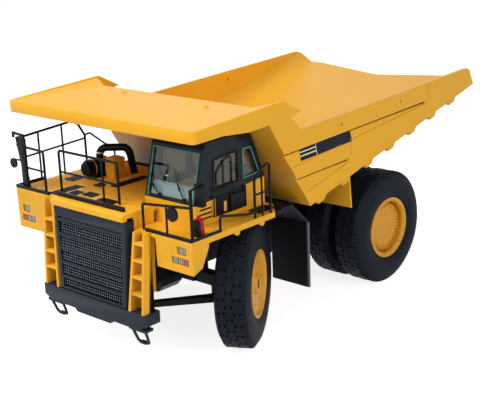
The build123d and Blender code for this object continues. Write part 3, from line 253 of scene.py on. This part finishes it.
def film(mesh, side, rear, front, rise, thickness, steps=24):
    """Lay a strip on the bed's side, upwards from the line between two (X, Z) points."""
    sheet = bmesh.ops.create_grid(mesh, x_segments=steps, y_segments=8, size=1.0)["verts"]
    for corner in sheet:
        x, foot = Vector(rear).lerp(Vector(front), (corner.co.x + 1) / 2)
        z = foot + rise * (corner.co.y + 1) / 2
        skin = bed_skin.ray_cast(Vector((x, side * beside_bed, z)), Vector((0, -side, 0)))[0]
        corner.co = (x, skin.y + side * film_gap, z)
    pulled_out(mesh, list({f for v in sheet for f in v.link_faces}), (0, side * thickness, 0))


def on_edge(ledge_edge, x, drop=0.0):
    """The (X, Z) point on a ledge's sloping edge, or a drop below it, at one X."""
    (front_x, front_z), (rear_x, rear_z) = ledge_edge
    return x, front_z + (rear_z - front_z) * (front_x - x) / (front_x - rear_x) - drop


# Front and rear ends of each ledge's edges, as (X, Z).
upper_lip, upper_crease = ((50.0, 80.6), (-61.6, 84.6)), ((50.0, 73.4), (-61.6, 83.2))
lower_lip, lower_crease = ((40.0, 68.7), (0.1, 69.8)), ((40.0, 59.4), (0.1, 68.3))
lip_shade, fine_line = 0.85, 0.22
wash_thickness, band_thickness, stripe_thickness = 0.02, 0.04, 0.07
band_rear, band_front, band_foot, band_head = -1.7, 33.5, 5.3, 0.35
stripe_rear, stripe_front, stripe_width = 23.0, 33.3, 0.5

# Painted shade in matt brown: dark under the lips, where the ledges shade the side, and thin along the
# creases. The same thin brown is a wash in the plate joints.
painted_lip_shadow = grained("painted_lip_shadow_brown", "#4a2f0c", "#3a2408", 0.7, 0.2)
painted_shade_and_joint_wash = grained("painted_shade_and_joint_brown", "#b9812a", "#a87322", 0.6, 0.2)
# Printed film is smoother than the enamel round it, with hardly any grain.
black_film = grained("printed_black_film", "#0e131c", "#0b0f16", 0.3, 0.05, 0.15)
cream_film = grained("printed_cream_film", "#efe6c3", "#e8dcb2", 0.35, 0.05)
lip_shadow_lines, crease_shade_and_joint_lines, band, stripes = (bmesh.new() for _ in range(4))
for side in (1, -1):
    # Painted shadow under each ledge's lip.
    for lip, rear, front in ((upper_lip, -60.6, 43.4), (lower_lip, 0.9, 35.6)):
        drop = lip_shade + 0.03
        film(lip_shadow_lines, side, on_edge(lip, rear, drop), on_edge(lip, front, drop), lip_shade,
             wash_thickness)
    # Painted shade along each ledge's crease. The plate joints below take the same brown as a wash.
    for crease, rear, front in ((upper_crease, -60.6, 39.3), (lower_crease, 0.9, 31.0)):
        film(crease_shade_and_joint_lines, side, on_edge(crease, rear), on_edge(crease, front), fine_line, wash_thickness)
    for joint_x, foot, head in ((-1.5, 71.0, 80.0), (-63.5, 85.6, 92.6)):
        film(crease_shade_and_joint_lines, side, (joint_x, foot), (joint_x + fine_line, foot), head - foot,
             wash_thickness, 2)
    film(band, side, on_edge(upper_lip, band_rear, band_foot), on_edge(upper_lip, band_front, band_foot),
         band_foot - band_head, band_thickness)
    for drop in (2.05, 3.65):
        film(stripes, side, on_edge(upper_lip, stripe_rear, drop), on_edge(upper_lip, stripe_front, drop),
             stripe_width, stripe_thickness)
    film(stripes, side, on_edge(upper_lip, 22.6, 5.2), on_edge(upper_lip, 22.9, 5.2), 4.7,
         stripe_thickness, 2)
settle("bed_ledge_painted_shadows", lip_shadow_lines, painted_lip_shadow, "bed")
settle("bed_crease_shade_and_joint_lines", crease_shade_and_joint_lines, painted_shade_and_joint_wash, "bed")
settle("bed_side_band", band, black_film, "bed")
settle("bed_side_stripes", stripes, cream_film, "bed")


def rod(mesh, start, end, radius, sides=12):
    """Add a round bar between two points."""
    run = Vector(end) - Vector(start)
    ends = bmesh.ops.create_cone(mesh, cap_ends=True, segments=sides, radius1=radius, radius2=radius,
                                 depth=run.length)["verts"]
    bmesh.ops.transform(mesh, matrix=run.to_track_quat("Z", "X").to_matrix().to_4x4(), verts=ends)
    bmesh.ops.translate(mesh, vec=(Vector(start) + Vector(end)) / 2, verts=ends)


pips = bmesh.new()
canopy_top = 101.0
for x, y in ((59.2, -23.4), (61.6, 28.7)):
    for foot, head, radius in ((-0.1, 0.45, 1.0), (0.3, 0.75, 0.5)):
        rod(pips, (x, y, canopy_top + foot), (x, y, canopy_top + head), radius, 24)
settle("canopy_pips", pips, body_enamel, "bed")


# ---- Hood, decks, ladders and cab base
# Castings in the same enamel, bolted over the chassis. The walkways carry black moulded
# gratings, and the hood and right deck fields of small anti-slip studs.

for node in ("hood", "left_fender", "right_fender", "ladders", "cab_lower", "equipment_box"):
    softened(node, body_enamel, "chassis", edge=0.16)


def block(mesh, x, y, z, edge=0.0):
    """Add a box between pairs of X, Y and Z planes, with its edges rounded."""
    corners = bmesh.ops.create_cube(mesh, size=1.0)["verts"]
    bmesh.ops.scale(mesh, vec=(x[1] - x[0], abs(y[1] - y[0]), z[1] - z[0]), verts=corners)
    bmesh.ops.translate(mesh, vec=((x[0] + x[1]) / 2, (y[0] + y[1]) / 2, (z[0] + z[1]) / 2),
                        verts=corners)
    if edge:
        edges = list({e for v in corners for e in v.link_edges})
        corners = bmesh.ops.bevel(mesh, geom=edges, offset=edge, segments=2, profile=0.5,
                                  affect="EDGES", material=-1)["verts"]
    return corners


hood_top, right_deck_top, left_deck_top = (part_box(node)[1].z / MM
                                           for node in ("hood", "right_fender", "left_fender"))

# Black ABS straight from the tool: a soft sheen over a fine grain, nearly black face on.
moulded_black = grained("moulded_black_abs", "#0e1118", "#0a0c11", 0.3, 0.4, 0.15)
bar_pitch, bar_half, bar_foot, bar_head = 0.95, 0.16, 0.05, 0.42
backing = 0.12
gratings = bmesh.new()
for x, y, z in (((92.4, 96.8), (-20.2, -15.6), hood_top),
                ((90.8, 95.2), (-13.4, -7.4), hood_top),
                ((93.4, 99.8), (-2.0, 7.6), hood_top),
                ((79.2, 83.0), (-20.4, -16.4), hood_top),
                ((60.0, 79.0), (-13.6, -9.6), hood_top),
                ((73.0, 78.4), (-45.6, -40.2), right_deck_top),
                ((82.0, 96.6), (-33.4, -27.4), right_deck_top),
                ((46.0, 55.6), (44.6, 50.4), left_deck_top)):
    block(gratings, x, y, (z, z + backing))
    crossbars = round((y[1] - y[0]) / bar_pitch)
    for index in range(crossbars + 1):
        bar_y = y[0] + (y[1] - y[0]) * index / crossbars
        block(gratings, x, (bar_y - bar_half, bar_y + bar_half), (z + bar_foot, z + bar_head))
    for bar_x in (x[0], (x[0] + x[1]) / 2, x[1]):
        block(gratings, (bar_x - bar_half, bar_x + bar_half), y, (z + bar_foot, z + bar_head))
settle("walkway_gratings", gratings, moulded_black, "chassis")

# The real studs are finer, and yellow. They are drawn this coarse, and in brown as painted shade, so that
# they show at all.
stud_pitch, stud_height = 1.5, 0.22
studs = bmesh.new()
for field_x, field_y, z in (((77.5, 91.0), (-7.5, 12.6), hood_top),
                            ((62.0, 76.0), (-8.0, 12.0), hood_top),
                            ((80.0, 97.0), (-50.0, -35.5), right_deck_top)):
    for row in range(int((field_x[1] - field_x[0]) / stud_pitch)):
        for column in range(int((field_y[1] - field_y[0]) / stud_pitch)):
            stud = bmesh.ops.create_cone(studs, cap_ends=True, segments=6, radius1=0.34, radius2=0.16,
                                         depth=stud_height)["verts"]
            place = (field_x[0] + row * stud_pitch,
                     field_y[0] + (column + 0.5 * (row % 2)) * stud_pitch, z + 0.1)
            bmesh.ops.translate(studs, vec=place, verts=stud)
settle("anti_slip_studs", studs, painted_shade_and_joint_wash, "chassis")


# ---- Bumper, grille and their mesh
# The bumper and grille surround are moulded in a blue-black plastic. A fine pressed mesh stands behind
# the five slats, with painted highlights on its crossings; the badge place above them is bare.

# Satin ABS, bluer and a shade paler than the rails, so that the nose stands out from them.
satin_blue_black = grained("satin_blue_black_abs", "#222b39", "#1b222e", 0.4, 0.35, 0.2)
for node in ("front_bumper", "grille"):
    softened(node, satin_blue_black, "chassis", edge=0.14, shortest=3.0)

# The mesh is drawn in the leaning plane of the grille's face, foot at the bumper's top.
grille_place = Matrix.Translation((105.0, 0.0, 24.8)) @ Matrix.Rotation(radians(-1.9), 4, "Y")
mesh_foot, mesh_head, mesh_half = 1.1, 32.2, 18.3
wire_pitch, wire_half = 1.22, 0.13
wires_rear, uprights_face, crossbars_face = -1.3, -1.0, -0.95
columns = int(mesh_half / wire_pitch)
rows = int((mesh_head - mesh_foot) / wire_pitch)
wires = bmesh.new()
crossings = bmesh.new()
for column in range(-columns, columns + 1):
    y = column * wire_pitch
    block(wires, (wires_rear, uprights_face), (y - wire_half, y + wire_half), (mesh_foot, mesh_head))
for row in range(1, rows + 1):
    height = mesh_foot + row * wire_pitch
    block(wires, (wires_rear, crossbars_face), (-mesh_half, mesh_half),
          (height - wire_half, height + wire_half))
    for column in range(-columns, columns + 1):
        highlight_dot = bmesh.ops.create_icosphere(crossings, subdivisions=1, radius=0.24)["verts"]
        bmesh.ops.translate(crossings, vec=(crossbars_face, column * wire_pitch, height), verts=highlight_dot)
for mesh in (wires, crossings):
    bmesh.ops.transform(mesh, matrix=grille_place, verts=mesh.verts)
settle("grille_mesh", wires, moulded_black, "chassis")
# Light grey dots on the crossings alone are painted highlights, which give the mesh its sparkle.
crossing_highlights = grained("painted_highlight_grey", "#c3c9cf", "#70767e", 0.3, 0.2)
settle("grille_mesh_highlights", crossings, crossing_highlights, "chassis")


# ---- Cab
# A gloss green-black moulding over the yellow base, glazed with clear styrene. Teal rubber
# beads seat the windscreen and quarter windows, and two wipers rest on the screen.

# Gloss ABS: smoother than the rails, so that the lamps show in it as clear edges of light.
cab_green_black = grained("gloss_green_black_abs", "#0c1a23", "#09131a", 0.22, 0.15, 0.2)
softened("cab_upper", cab_green_black, "chassis", edge=0.3, shortest=3.0)
finish_in(moulded_black, "cab_door")

# Moulded styrene is clear with a faint green cast, and ripples a little where it cooled.
clear_styrene, tree = new_material("clear_styrene")
place = add(tree, "ShaderNodeTexCoord")
ripple = add(tree, "ShaderNodeTexNoise", {"Vector": place.outputs["Object"], "Scale": 1 / (9 * MM)})
wave = add(tree, "ShaderNodeBump", {"Height": ripple.outputs["Fac"], "Strength": 0.15,
                                    "Distance": 0.05 * MM})
glazing = add(tree, "ShaderNodeBsdfPrincipled", {
    "Base Color": linear("#dbe8e6"), "Roughness": 0.03, "IOR": 1.5, "Transmission Weight": 1.0,
    "Normal": wave.outputs[0]})
add(tree, "ShaderNodeOutputMaterial", {"Surface": glazing.outputs[0]})
finish_in(clear_styrene, "cab_glass")


def bead_round(mesh, corners, width, thickness):
    """Add a flat raised bead that follows the inside of a window's outline."""
    face = mesh.faces.new([mesh.verts.new(corner) for corner in corners])
    face.normal_update()
    raised = face.normal * thickness
    bead = bmesh.ops.inset_region(mesh, faces=[face], thickness=width, use_even_offset=True,
                                  use_boundary=True)["faces"]
    bmesh.ops.delete(mesh, geom=[face], context="FACES_ONLY")
    pulled_out(mesh, bead, raised)


cab_low, cab_high = (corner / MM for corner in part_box("cab_upper"))
screen_lean = 0.2627


def on_screen(y, z, lift=0.0):
    """A point on the windscreen's leaning outer face, or lifted off it."""
    return (cab_high.x - screen_lean * (z - cab_low.z) + lift, y, z)


# Outlines as (X, Z) on the cab's sides, and as (Y, Z) on the windscreen.
door_window = [(59.5, 71.5), (75.0, 71.2), (73.8, 83.8), (59.5, 84.6)]
quarter_window = [(46.6, 72.6), (56.8, 71.8), (56.8, 84.6), (51.6, 84.6)]
windscreen = [(15.4, 67.5), (41.6, 67.5), (41.6, 87.2), (15.4, 87.2)]
teal_beads = bmesh.new()
black_beads = bmesh.new()
bead_round(teal_beads, [on_screen(y, z) for y, z in windscreen], 0.7, 0.3)
for y, order in ((cab_high.y, -1), (cab_low.y, 1)):
    for beads, window in ((teal_beads, quarter_window), (black_beads, door_window)):
        bead_round(beads, [(x, y, z) for x, z in window[::order]], 0.6, 0.28)
# Rubber in a greyed teal, a dull outline between the gloss of the cab and of the glass.
teal_rubber = grained("teal_window_rubber", "#4f8f88", "#376b66", 0.35, 0.2)
settle("window_beads", teal_beads, teal_rubber, "chassis")
settle("door_window_beads", black_beads, moulded_black, "chassis")

# Each wiper is a pivot, an arm and a blade, given by the arm's ends and half the blade's length.
pivot_radius, arm_radius, blade_radius = 0.55, 0.26, 0.2
wipers = bmesh.new()
for foot, head, blade in (((36.5, 68.6), (31.0, 75.6), 4.6), ((22.5, 68.6), (17.5, 73.0), 3.6)):
    rod(wipers, on_screen(*foot, 0.7), on_screen(*head, 0.55), arm_radius)
    lean, reach = 0.45 * blade, 0.9 * blade
    rod(wipers, on_screen(head[0] + lean, head[1] - reach, 0.35),
        on_screen(head[0] - lean, head[1] + reach, 0.35), blade_radius)
    rod(wipers, on_screen(*foot, -0.4), on_screen(*foot, 0.9), pivot_radius)
rod(wipers, on_screen(17.0, 68.0, 0.5), on_screen(40.0, 68.0, 0.5), 0.3)
settle("wipers", wipers, moulded_black, "chassis")

# The seats, front console and steering wheel are one dull tan, and the dash top a pale pad.
tan_vinyl = grained("tan_vinyl", "#6e5537", "#5a4329", 0.6, 0.4)
finish_in(tan_vinyl, "cab_interior")
dash_right_y, dash_width = 16.2, 24.6
dash_profile = [(82.9, 67.6), (81.5, 72.4), (80.2, 73.0), (77.4, 71.2), (77.4, 67.6)]
dash = bmesh.new()
cheek = dash.faces.new([dash.verts.new((x, dash_right_y, z)) for x, z in dash_profile])
pulled_out(dash, [cheek], (0, dash_width, 0))
pale_pad = grained("pale_grey_vinyl", "#ccd6da", "#b6c2c8", 0.5, 0.4)
settle("dash_pad", dash, pale_pad, "chassis")

# Louvres ahead of the door, the yellow strip let into the door, and a grab rail each side.
louvres = bmesh.new()
for index in range(3):
    slot_foot = left_deck_top + 2.45 + index * 1.9
    block(louvres, (75.7, 82.5), (42.3, 42.6), (slot_foot, slot_foot + 0.7))
settle("cab_louvres", louvres, moulded_black, "chassis")
strip = bmesh.new()
block(strip, (67.25, 68.95), (42.4, 43.35), (61.1, 65.3), 0.15)
settle("door_strip", strip, body_enamel, "chassis")
rail_foot, rail_head, rail_radius = 60.6, 69.0, 0.3
rails = bmesh.new()
for rail_x in (56.4, 75.2):
    rod(rails, (rail_x, 43.9, rail_foot), (rail_x, 43.9, rail_head), rail_radius)
    for z in (rail_foot, rail_head):
        rod(rails, (rail_x, 42.8, z), (rail_x, 44.0, z), rail_radius)
settle("cab_grab_rails", rails, moulded_black, "chassis")


# ---- Lamps
# Each pocket is lined in black and holds clear styrene lenses, and the outer end of the lower
# pocket a red one. Moulded flutes cross every lens.

# The real flutes are finer. They are drawn about 1 mm apart, as fine as shows.
flute_pitch, flute_depth = 0.9865 * MM, 0.06 * MM


def fluted(name, hex_colour, deeper):
    """A glossy lens whose upright flutes carry painted light and painted shade in turn."""
    made, tree = new_material(name)
    place = add(tree, "ShaderNodeTexCoord")
    # At a scale of 1 the wave node's bands are 2 pi / 20 apart.
    flutes = add(tree, "ShaderNodeTexWave", {"Vector": place.outputs["Object"],
                                             "Scale": 2 * pi / 20 / flute_pitch}, bands_direction="Y")
    bump = add(tree, "ShaderNodeBump", {"Height": flutes.outputs["Fac"], "Strength": 0.6,
                                        "Distance": flute_depth})
    # The flutes' light and dark bands are painted light and shade.
    tint = add(tree, "ShaderNodeMix", {"Factor": flutes.outputs["Fac"], 6: linear(hex_colour),
                                       7: linear(deeper)}, data_type="RGBA")
    lens = add(tree, "ShaderNodeBsdfPrincipled", {"Base Color": tint.outputs[2], "Roughness": 0.15,
                                                  "Coat Weight": 1.0, "Normal": bump.outputs[0]})
    add(tree, "ShaderNodeOutputMaterial", {"Surface": lens.outputs[0]})
    return made


clear_lens = fluted("clear_styrene_lens", "#a3a29a", "#4f4e4b")
red_lens = fluted("red_styrene_lens", "#c5281d", "#7e130d")
lamp_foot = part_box("left_fender")[0].z / MM
lens_depth, liner_depth = (97.45, 98.35), (97.3, 97.6)
lenses = bmesh.new()
red_lenses = bmesh.new()
pockets = bmesh.new()
for side in (1, -1):
    # inner and outer Y, then foot and head above the lamp box's foot
    for mesh, depth, inner, outer, foot, head, edge in (
            (lenses, lens_depth, 42.9, 45.5, 3.5, 5.9, 0.15),
            (lenses, lens_depth, 45.9, 48.5, 3.5, 5.9, 0.15),
            (lenses, lens_depth, 46.1, 50.1, 7.7, 10.5, 0.15),
            (red_lenses, lens_depth, 48.9, 51.1, 3.5, 5.9, 0.15),
            (pockets, liner_depth, 42.45, 51.55, 3.25, 6.15, 0.0),
            (pockets, liner_depth, 45.65, 50.55, 7.45, 10.75, 0.0)):
        block(mesh, depth, (side * inner, side * outer), (lamp_foot + foot, lamp_foot + head), edge)
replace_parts(settle("lamp_lenses", lenses, clear_lens, "chassis"), "headlamps")
settle("lamp_red_lenses", red_lenses, red_lens, "chassis")
settle("lamp_pocket_liners", pockets, moulded_black, "chassis")


# ---- Handrails, mirrors and mudguards
# Moulded in the black ABS, with a mirror on a mast at the right front corner. The mudguards are rubber,
# and a pale grey strip along their outer edges is a painted highlight.

finish_in(moulded_black, "right_handrails", "front_handrails", "left_handrails", "mirrors",
          "air_cleaner")
mast_x, mast_arm_radius = 97.5, 0.6
mast_mirror = bmesh.new()
block(mast_mirror, (96.9, 98.1), (-50.3, -46.5), (62.7, 85.4), 0.35)
for start, end in (((-47.6, 85.2), (-47.6, 86.6)), ((-47.2, 86.4), (-54.6, 86.9)),
                   ((-54.6, 87.2), (-54.6, 84.8))):
    rod(mast_mirror, (mast_x, *start), (mast_x, *end), mast_arm_radius)
settle("mast_mirror", mast_mirror, moulded_black, "chassis")
# Soft rubber takes the light evenly, without the sheen of the rails.
flap_rubber = grained("black_flap_rubber", "#0f121b", "#0b0d14", 0.5, 0.5, 0.15)
finish_in(flap_rubber, "mudguards")
# A pale grey strip along each flap's outer edge is a painted highlight.
edge_highlights = bmesh.new()
for side in (1, -1):
    block(edge_highlights, (23.85, 25.15), (side * 50.2, side * 50.95), (16.0, 46.0), 0.1)
painted_edge_highlight = grained("painted_edge_highlight_grey", "#5d6570", "#4c535d", 0.6, 0.5)
settle("mudguard_edge_highlights", edge_highlights, painted_edge_highlight, "chassis")


# ---- Air cleaner bands and fire extinguisher
# Two plated clamp bands hold the moulded canister of the air cleaner, and a third its duct.
# The extinguisher is a red bottle, moulded apart, behind a black bracket on the left deck.

# Chrome over steel, as on the hoist rods: a mirror with a slight haze in patches 4 mm across.
plated_steel, tree = new_material("chromed_steel")
place = add(tree, "ShaderNodeTexCoord")
haze = add(tree, "ShaderNodeTexNoise", {"Vector": place.outputs["Object"], "Scale": 1 / (4 * MM)})
spread = add(tree, "ShaderNodeMapRange", {"Value": haze.outputs["Fac"], "To Min": 0.1, "To Max": 0.24})
metal = add(tree, "ShaderNodeBsdfPrincipled", {"Base Color": linear("#c9ccd0"), "Metallic": 1.0,
                                               "Roughness": spread.outputs[0]})
add(tree, "ShaderNodeOutputMaterial", {"Surface": metal.outputs[0]})
finish_in(plated_steel, "left_hoist_rod", "right_hoist_rod")

can_y, can_z, clamp_radius, clamp_width = -38.0, 67.0, 4.02, 0.7
duct_x, duct_y = 64.0, -36.8
clamps = bmesh.new()
for x in (62.4, 68.6):
    rod(clamps, (x, can_y, can_z), (x + clamp_width, can_y, can_z), clamp_radius, 40)
rod(clamps, (duct_x, duct_y, 73.0), (duct_x, duct_y, 73.8), 1.95, 32)
settle("air_cleaner_clamps", clamps, plated_steel, "chassis")

# Gloss red plastic, nearly free of grain, so that the bottle carries one clean highlight.
red_gloss = grained("gloss_red_abs", "#c3161c", "#a81016", 0.25, 0.1)
finish_in(red_gloss, "fire_extinguisher")
bracket = bmesh.new()
block(bracket, (91.6, 92.9), (48.6, 52.2), (left_deck_top, 64.6), 0.2)
settle("extinguisher_bracket", bracket, moulded_black, "chassis")


# ---- Chassis
# Frame, axles, knuckles, engine block, tank and hoist barrels are zinc castings under one
# satin black enamel, a little duller than the moulded parts above them.

chassis_black = grained("satin_black_on_zinc", "#0f1118", "#0b0c11", 0.42, 0.2, 0.15)
finish_in(chassis_black, "main_frame", "engine_block", "rear_axle", "front_axle", "tie_rod",
          "left_knuckle", "right_knuckle", "side_tank", "left_hoist_barrel", "right_hoist_barrel")


# ---- Tyres
# Soft vinyl rubber from a two-part mould. The tread is three rows of six-sided blocks with
# narrow zigzag grooves between them, and close fine ribs run over each shoulder.

tyre_radius, tyre_half = 27.0, 7.4
bead_radius, bead_half = 13.9, 6.1
shoulder_radius, shoulder_half = 24.6, 6.6
wall_radius = 19.25
tread_base, tread_half = 26.1, 5.0
ring_steps = 112
block_count, row_spacing = 28, 3.3
block_foot, block_top = 25.9, 26.9
block_half_width, block_share, block_chamfer = 2.04, 0.945, 0.14
rib_count, rib_width, rib_depth = 84, 1.25, 0.9
rib_inset, rib_sink = 0.36, 0.26


def repeat_round(mesh, corners, count):
    """Copy a closed shape to evenly spaced places round the Y axis."""
    faces = list({f for v in corners for f in v.link_faces})
    edges = list({e for f in faces for e in f.edges})
    bmesh.ops.spin(mesh, geom=corners + edges + faces, cent=(0, 0, 0), axis=(0, 1, 0),
                   angle=2 * pi * (count - 1) / count, steps=count - 1, use_duplicate=True)


def tyre(mesh):
    """Add one tyre about the Y axis, centred on the origin."""
    section = [(bead_radius, bead_half)]
    for step in range(1, 13):
        radius = bead_radius + (shoulder_radius - bead_radius) * step / 12
        low = radius < wall_radius
        reach = (radius - wall_radius) / ((bead_radius if low else shoulder_radius) - wall_radius)
        drop = (tyre_half - (bead_half if low else shoulder_half)) * reach ** 2
        section.append((radius, tyre_half - drop))
    section.append((tread_base, tread_half))
    section += [(radius, -half) for radius, half in section[::-1]]
    corners = [mesh.verts.new((0.0, y, radius)) for radius, y in section]
    outline = [mesh.edges.new((corners[at - 1], corners[at])) for at in range(len(corners))]
    bmesh.ops.spin(mesh, geom=corners + outline, cent=(0, 0, 0), axis=(0, 1, 0), angle=2 * pi,
                   steps=ring_steps, use_merge=True)

    # A hexagon of radius 1 is 1.732 wide across its flats, which face along the tread.
    block_scale = block_share * 2 * pi * tyre_radius / block_count / 1.732
    for row in (-1, 0, 1):
        cake = bmesh.ops.create_circle(mesh, cap_ends=True, segments=6, radius=1.0)["verts"]
        bmesh.ops.rotate(mesh, matrix=Matrix.Rotation(radians(90), 3, "Z"), verts=cake)
        bmesh.ops.scale(mesh, vec=(block_scale, block_half_width, 1.0), verts=cake)
        bmesh.ops.translate(mesh, vec=(0.0, row * row_spacing, block_foot), verts=cake)
        top = pulled_out(mesh, [cake[0].link_faces[0]], (0.0, 0.0, block_top - block_foot))
        rim = {e for v in top for e in v.link_edges if e.other_vert(v) in top}
        soft = bmesh.ops.bevel(mesh, geom=list(rim), offset=block_chamfer, segments=1, profile=0.5,
                               affect="EDGES", material=-1)
        lug = list({v for f in soft["faces"] for v in f.verts} | set(cake))
        if row == 0:
            bmesh.ops.rotate(mesh, cent=(0, 0, 0), matrix=Matrix.Rotation(pi / block_count, 3, "Y"),
                             verts=lug)
        repeat_round(mesh, lug, block_count)

    # The ribs lie on the slope between the tread's edge and the shoulder.
    slope = Vector((0.0, shoulder_half - tread_half, shoulder_radius - tyre_radius))
    tilt = slope.angle(Vector((0, 1, 0)))
    for side in (1, -1):
        rib = bmesh.ops.create_cube(mesh, size=1.0)["verts"]
        bmesh.ops.scale(mesh, vec=(rib_width, slope.length, rib_depth), verts=rib)
        bmesh.ops.rotate(mesh, matrix=Matrix.Rotation(-side * tilt, 3, "X"), verts=rib)
        bmesh.ops.translate(mesh, vec=(0.0, side * ((tread_half + shoulder_half) / 2 - rib_inset),
                                       (tyre_radius + shoulder_radius) / 2 - rib_sink), verts=rib)
        repeat_round(mesh, rib, rib_count)
    bmesh.ops.recalc_face_normals(mesh, faces=mesh.faces)


# Each wheel's centre is its joint's place. The front pair stand steered to the left.
wheel_centre = {joint["name"]: Vector(joint["pos_m"]) / MM for joint in frame["joints"]
                if joint["name"].startswith("spin_")}
steered = Matrix.Rotation(radians(28.7), 4, "Z")
twin_offset = 8.8

# Matt rubber: the tread reads by its edges and grooves, with no highlight on the walls.
tyre_rubber = grained("matt_black_rubber", "#151b26", "#10141d", 0.6, 0.9, 0.1)
plain_tyre = bmesh.new()
tyre(plain_tyre)
one_tyre = bpy.data.meshes.new("one_tyre")
plain_tyre.to_mesh(one_tyre)
plain_tyre.free()
for end, node_end, body_end, turned, offsets in (
        ("front", "front_tyre", "front_wheel", steered, (0.0,)),
        ("rear", "rear_tyres", "rear_wheels", Matrix.Identity(4), (twin_offset, -twin_offset))):
    for side, label in ((1, "left"), (-1, "right")):
        tyres = bmesh.new()
        for offset in offsets:
            known = set(tyres.verts)
            tyres.from_mesh(one_tyre)
            centre = wheel_centre[f"spin_{end}_{label}"] + Vector((0.0, side * offset, 0.0))
            bmesh.ops.transform(tyres, matrix=Matrix.Translation(centre) @ turned,
                                verts=[v for v in tyres.verts if v not in known])
        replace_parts(settle(f"treaded_{label}_{node_end}", tyres, tyre_rubber, f"{label}_{body_end}"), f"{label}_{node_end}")
bpy.data.meshes.remove(one_tyre)


# ---- Rims
# Zinc wheel centres in satin yellow. A lock ring sits in each rim's mouth, and the rear hub
# disc has a serrated edge.

# The body's yellow again, but duller and a little deeper.
wheel_enamel = grained("yellow_enamel_on_wheels", "#e2a22e", "#d69526", 0.42, 0.2)
finish_in(wheel_enamel, "left_front_rim", "right_front_rim", "left_rear_rims", "right_rear_rims")
# Each Y is a distance outwards from the wheel's centre.
ring_radius, ring_thickness = 13.2, 0.35
front_ring_y, rear_ring_y = 6.7, 15.45
tooth_count, tooth_half, tooth_inner_y, tooth_outer_y = 44, 0.42, 12.4, 13.5


def lock_ring(mesh, y):
    """Add a rim's lock ring, a round wire about the Y axis."""
    section = bmesh.ops.create_circle(mesh, segments=10, radius=ring_thickness)["verts"]
    bmesh.ops.rotate(mesh, matrix=Matrix.Rotation(radians(90), 3, "Y"), verts=section)
    bmesh.ops.translate(mesh, vec=(0.0, y, ring_radius), verts=section)
    edges = list({e for v in section for e in v.link_edges})
    bmesh.ops.spin(mesh, geom=section + edges, cent=(0, 0, 0), axis=(0, 1, 0), angle=2 * pi,
                   steps=96, use_merge=True)
    bmesh.ops.recalc_face_normals(mesh, faces=mesh.faces)


for side, label in ((1, "left"), (-1, "right")):
    front_ring = bmesh.new()
    lock_ring(front_ring, side * front_ring_y)
    centre = Matrix.Translation(wheel_centre[f"spin_front_{label}"])
    bmesh.ops.transform(front_ring, matrix=centre @ steered, verts=front_ring.verts)
    settle(f"{label}_front_lock_ring", front_ring, wheel_enamel, f"{label}_front_wheel")
    serrations = bmesh.new()
    lock_ring(serrations, side * rear_ring_y)
    tooth = block(serrations, (-tooth_half, tooth_half), (side * tooth_inner_y, side * tooth_outer_y),
                  (9.7, 11.3), 0.12)
    repeat_round(serrations, tooth, tooth_count)
    bmesh.ops.translate(serrations, vec=wheel_centre[f"spin_rear_{label}"], verts=serrations.verts)
    settle(f"{label}_rear_hub_serrations", serrations, wheel_enamel, f"{label}_rear_wheels")
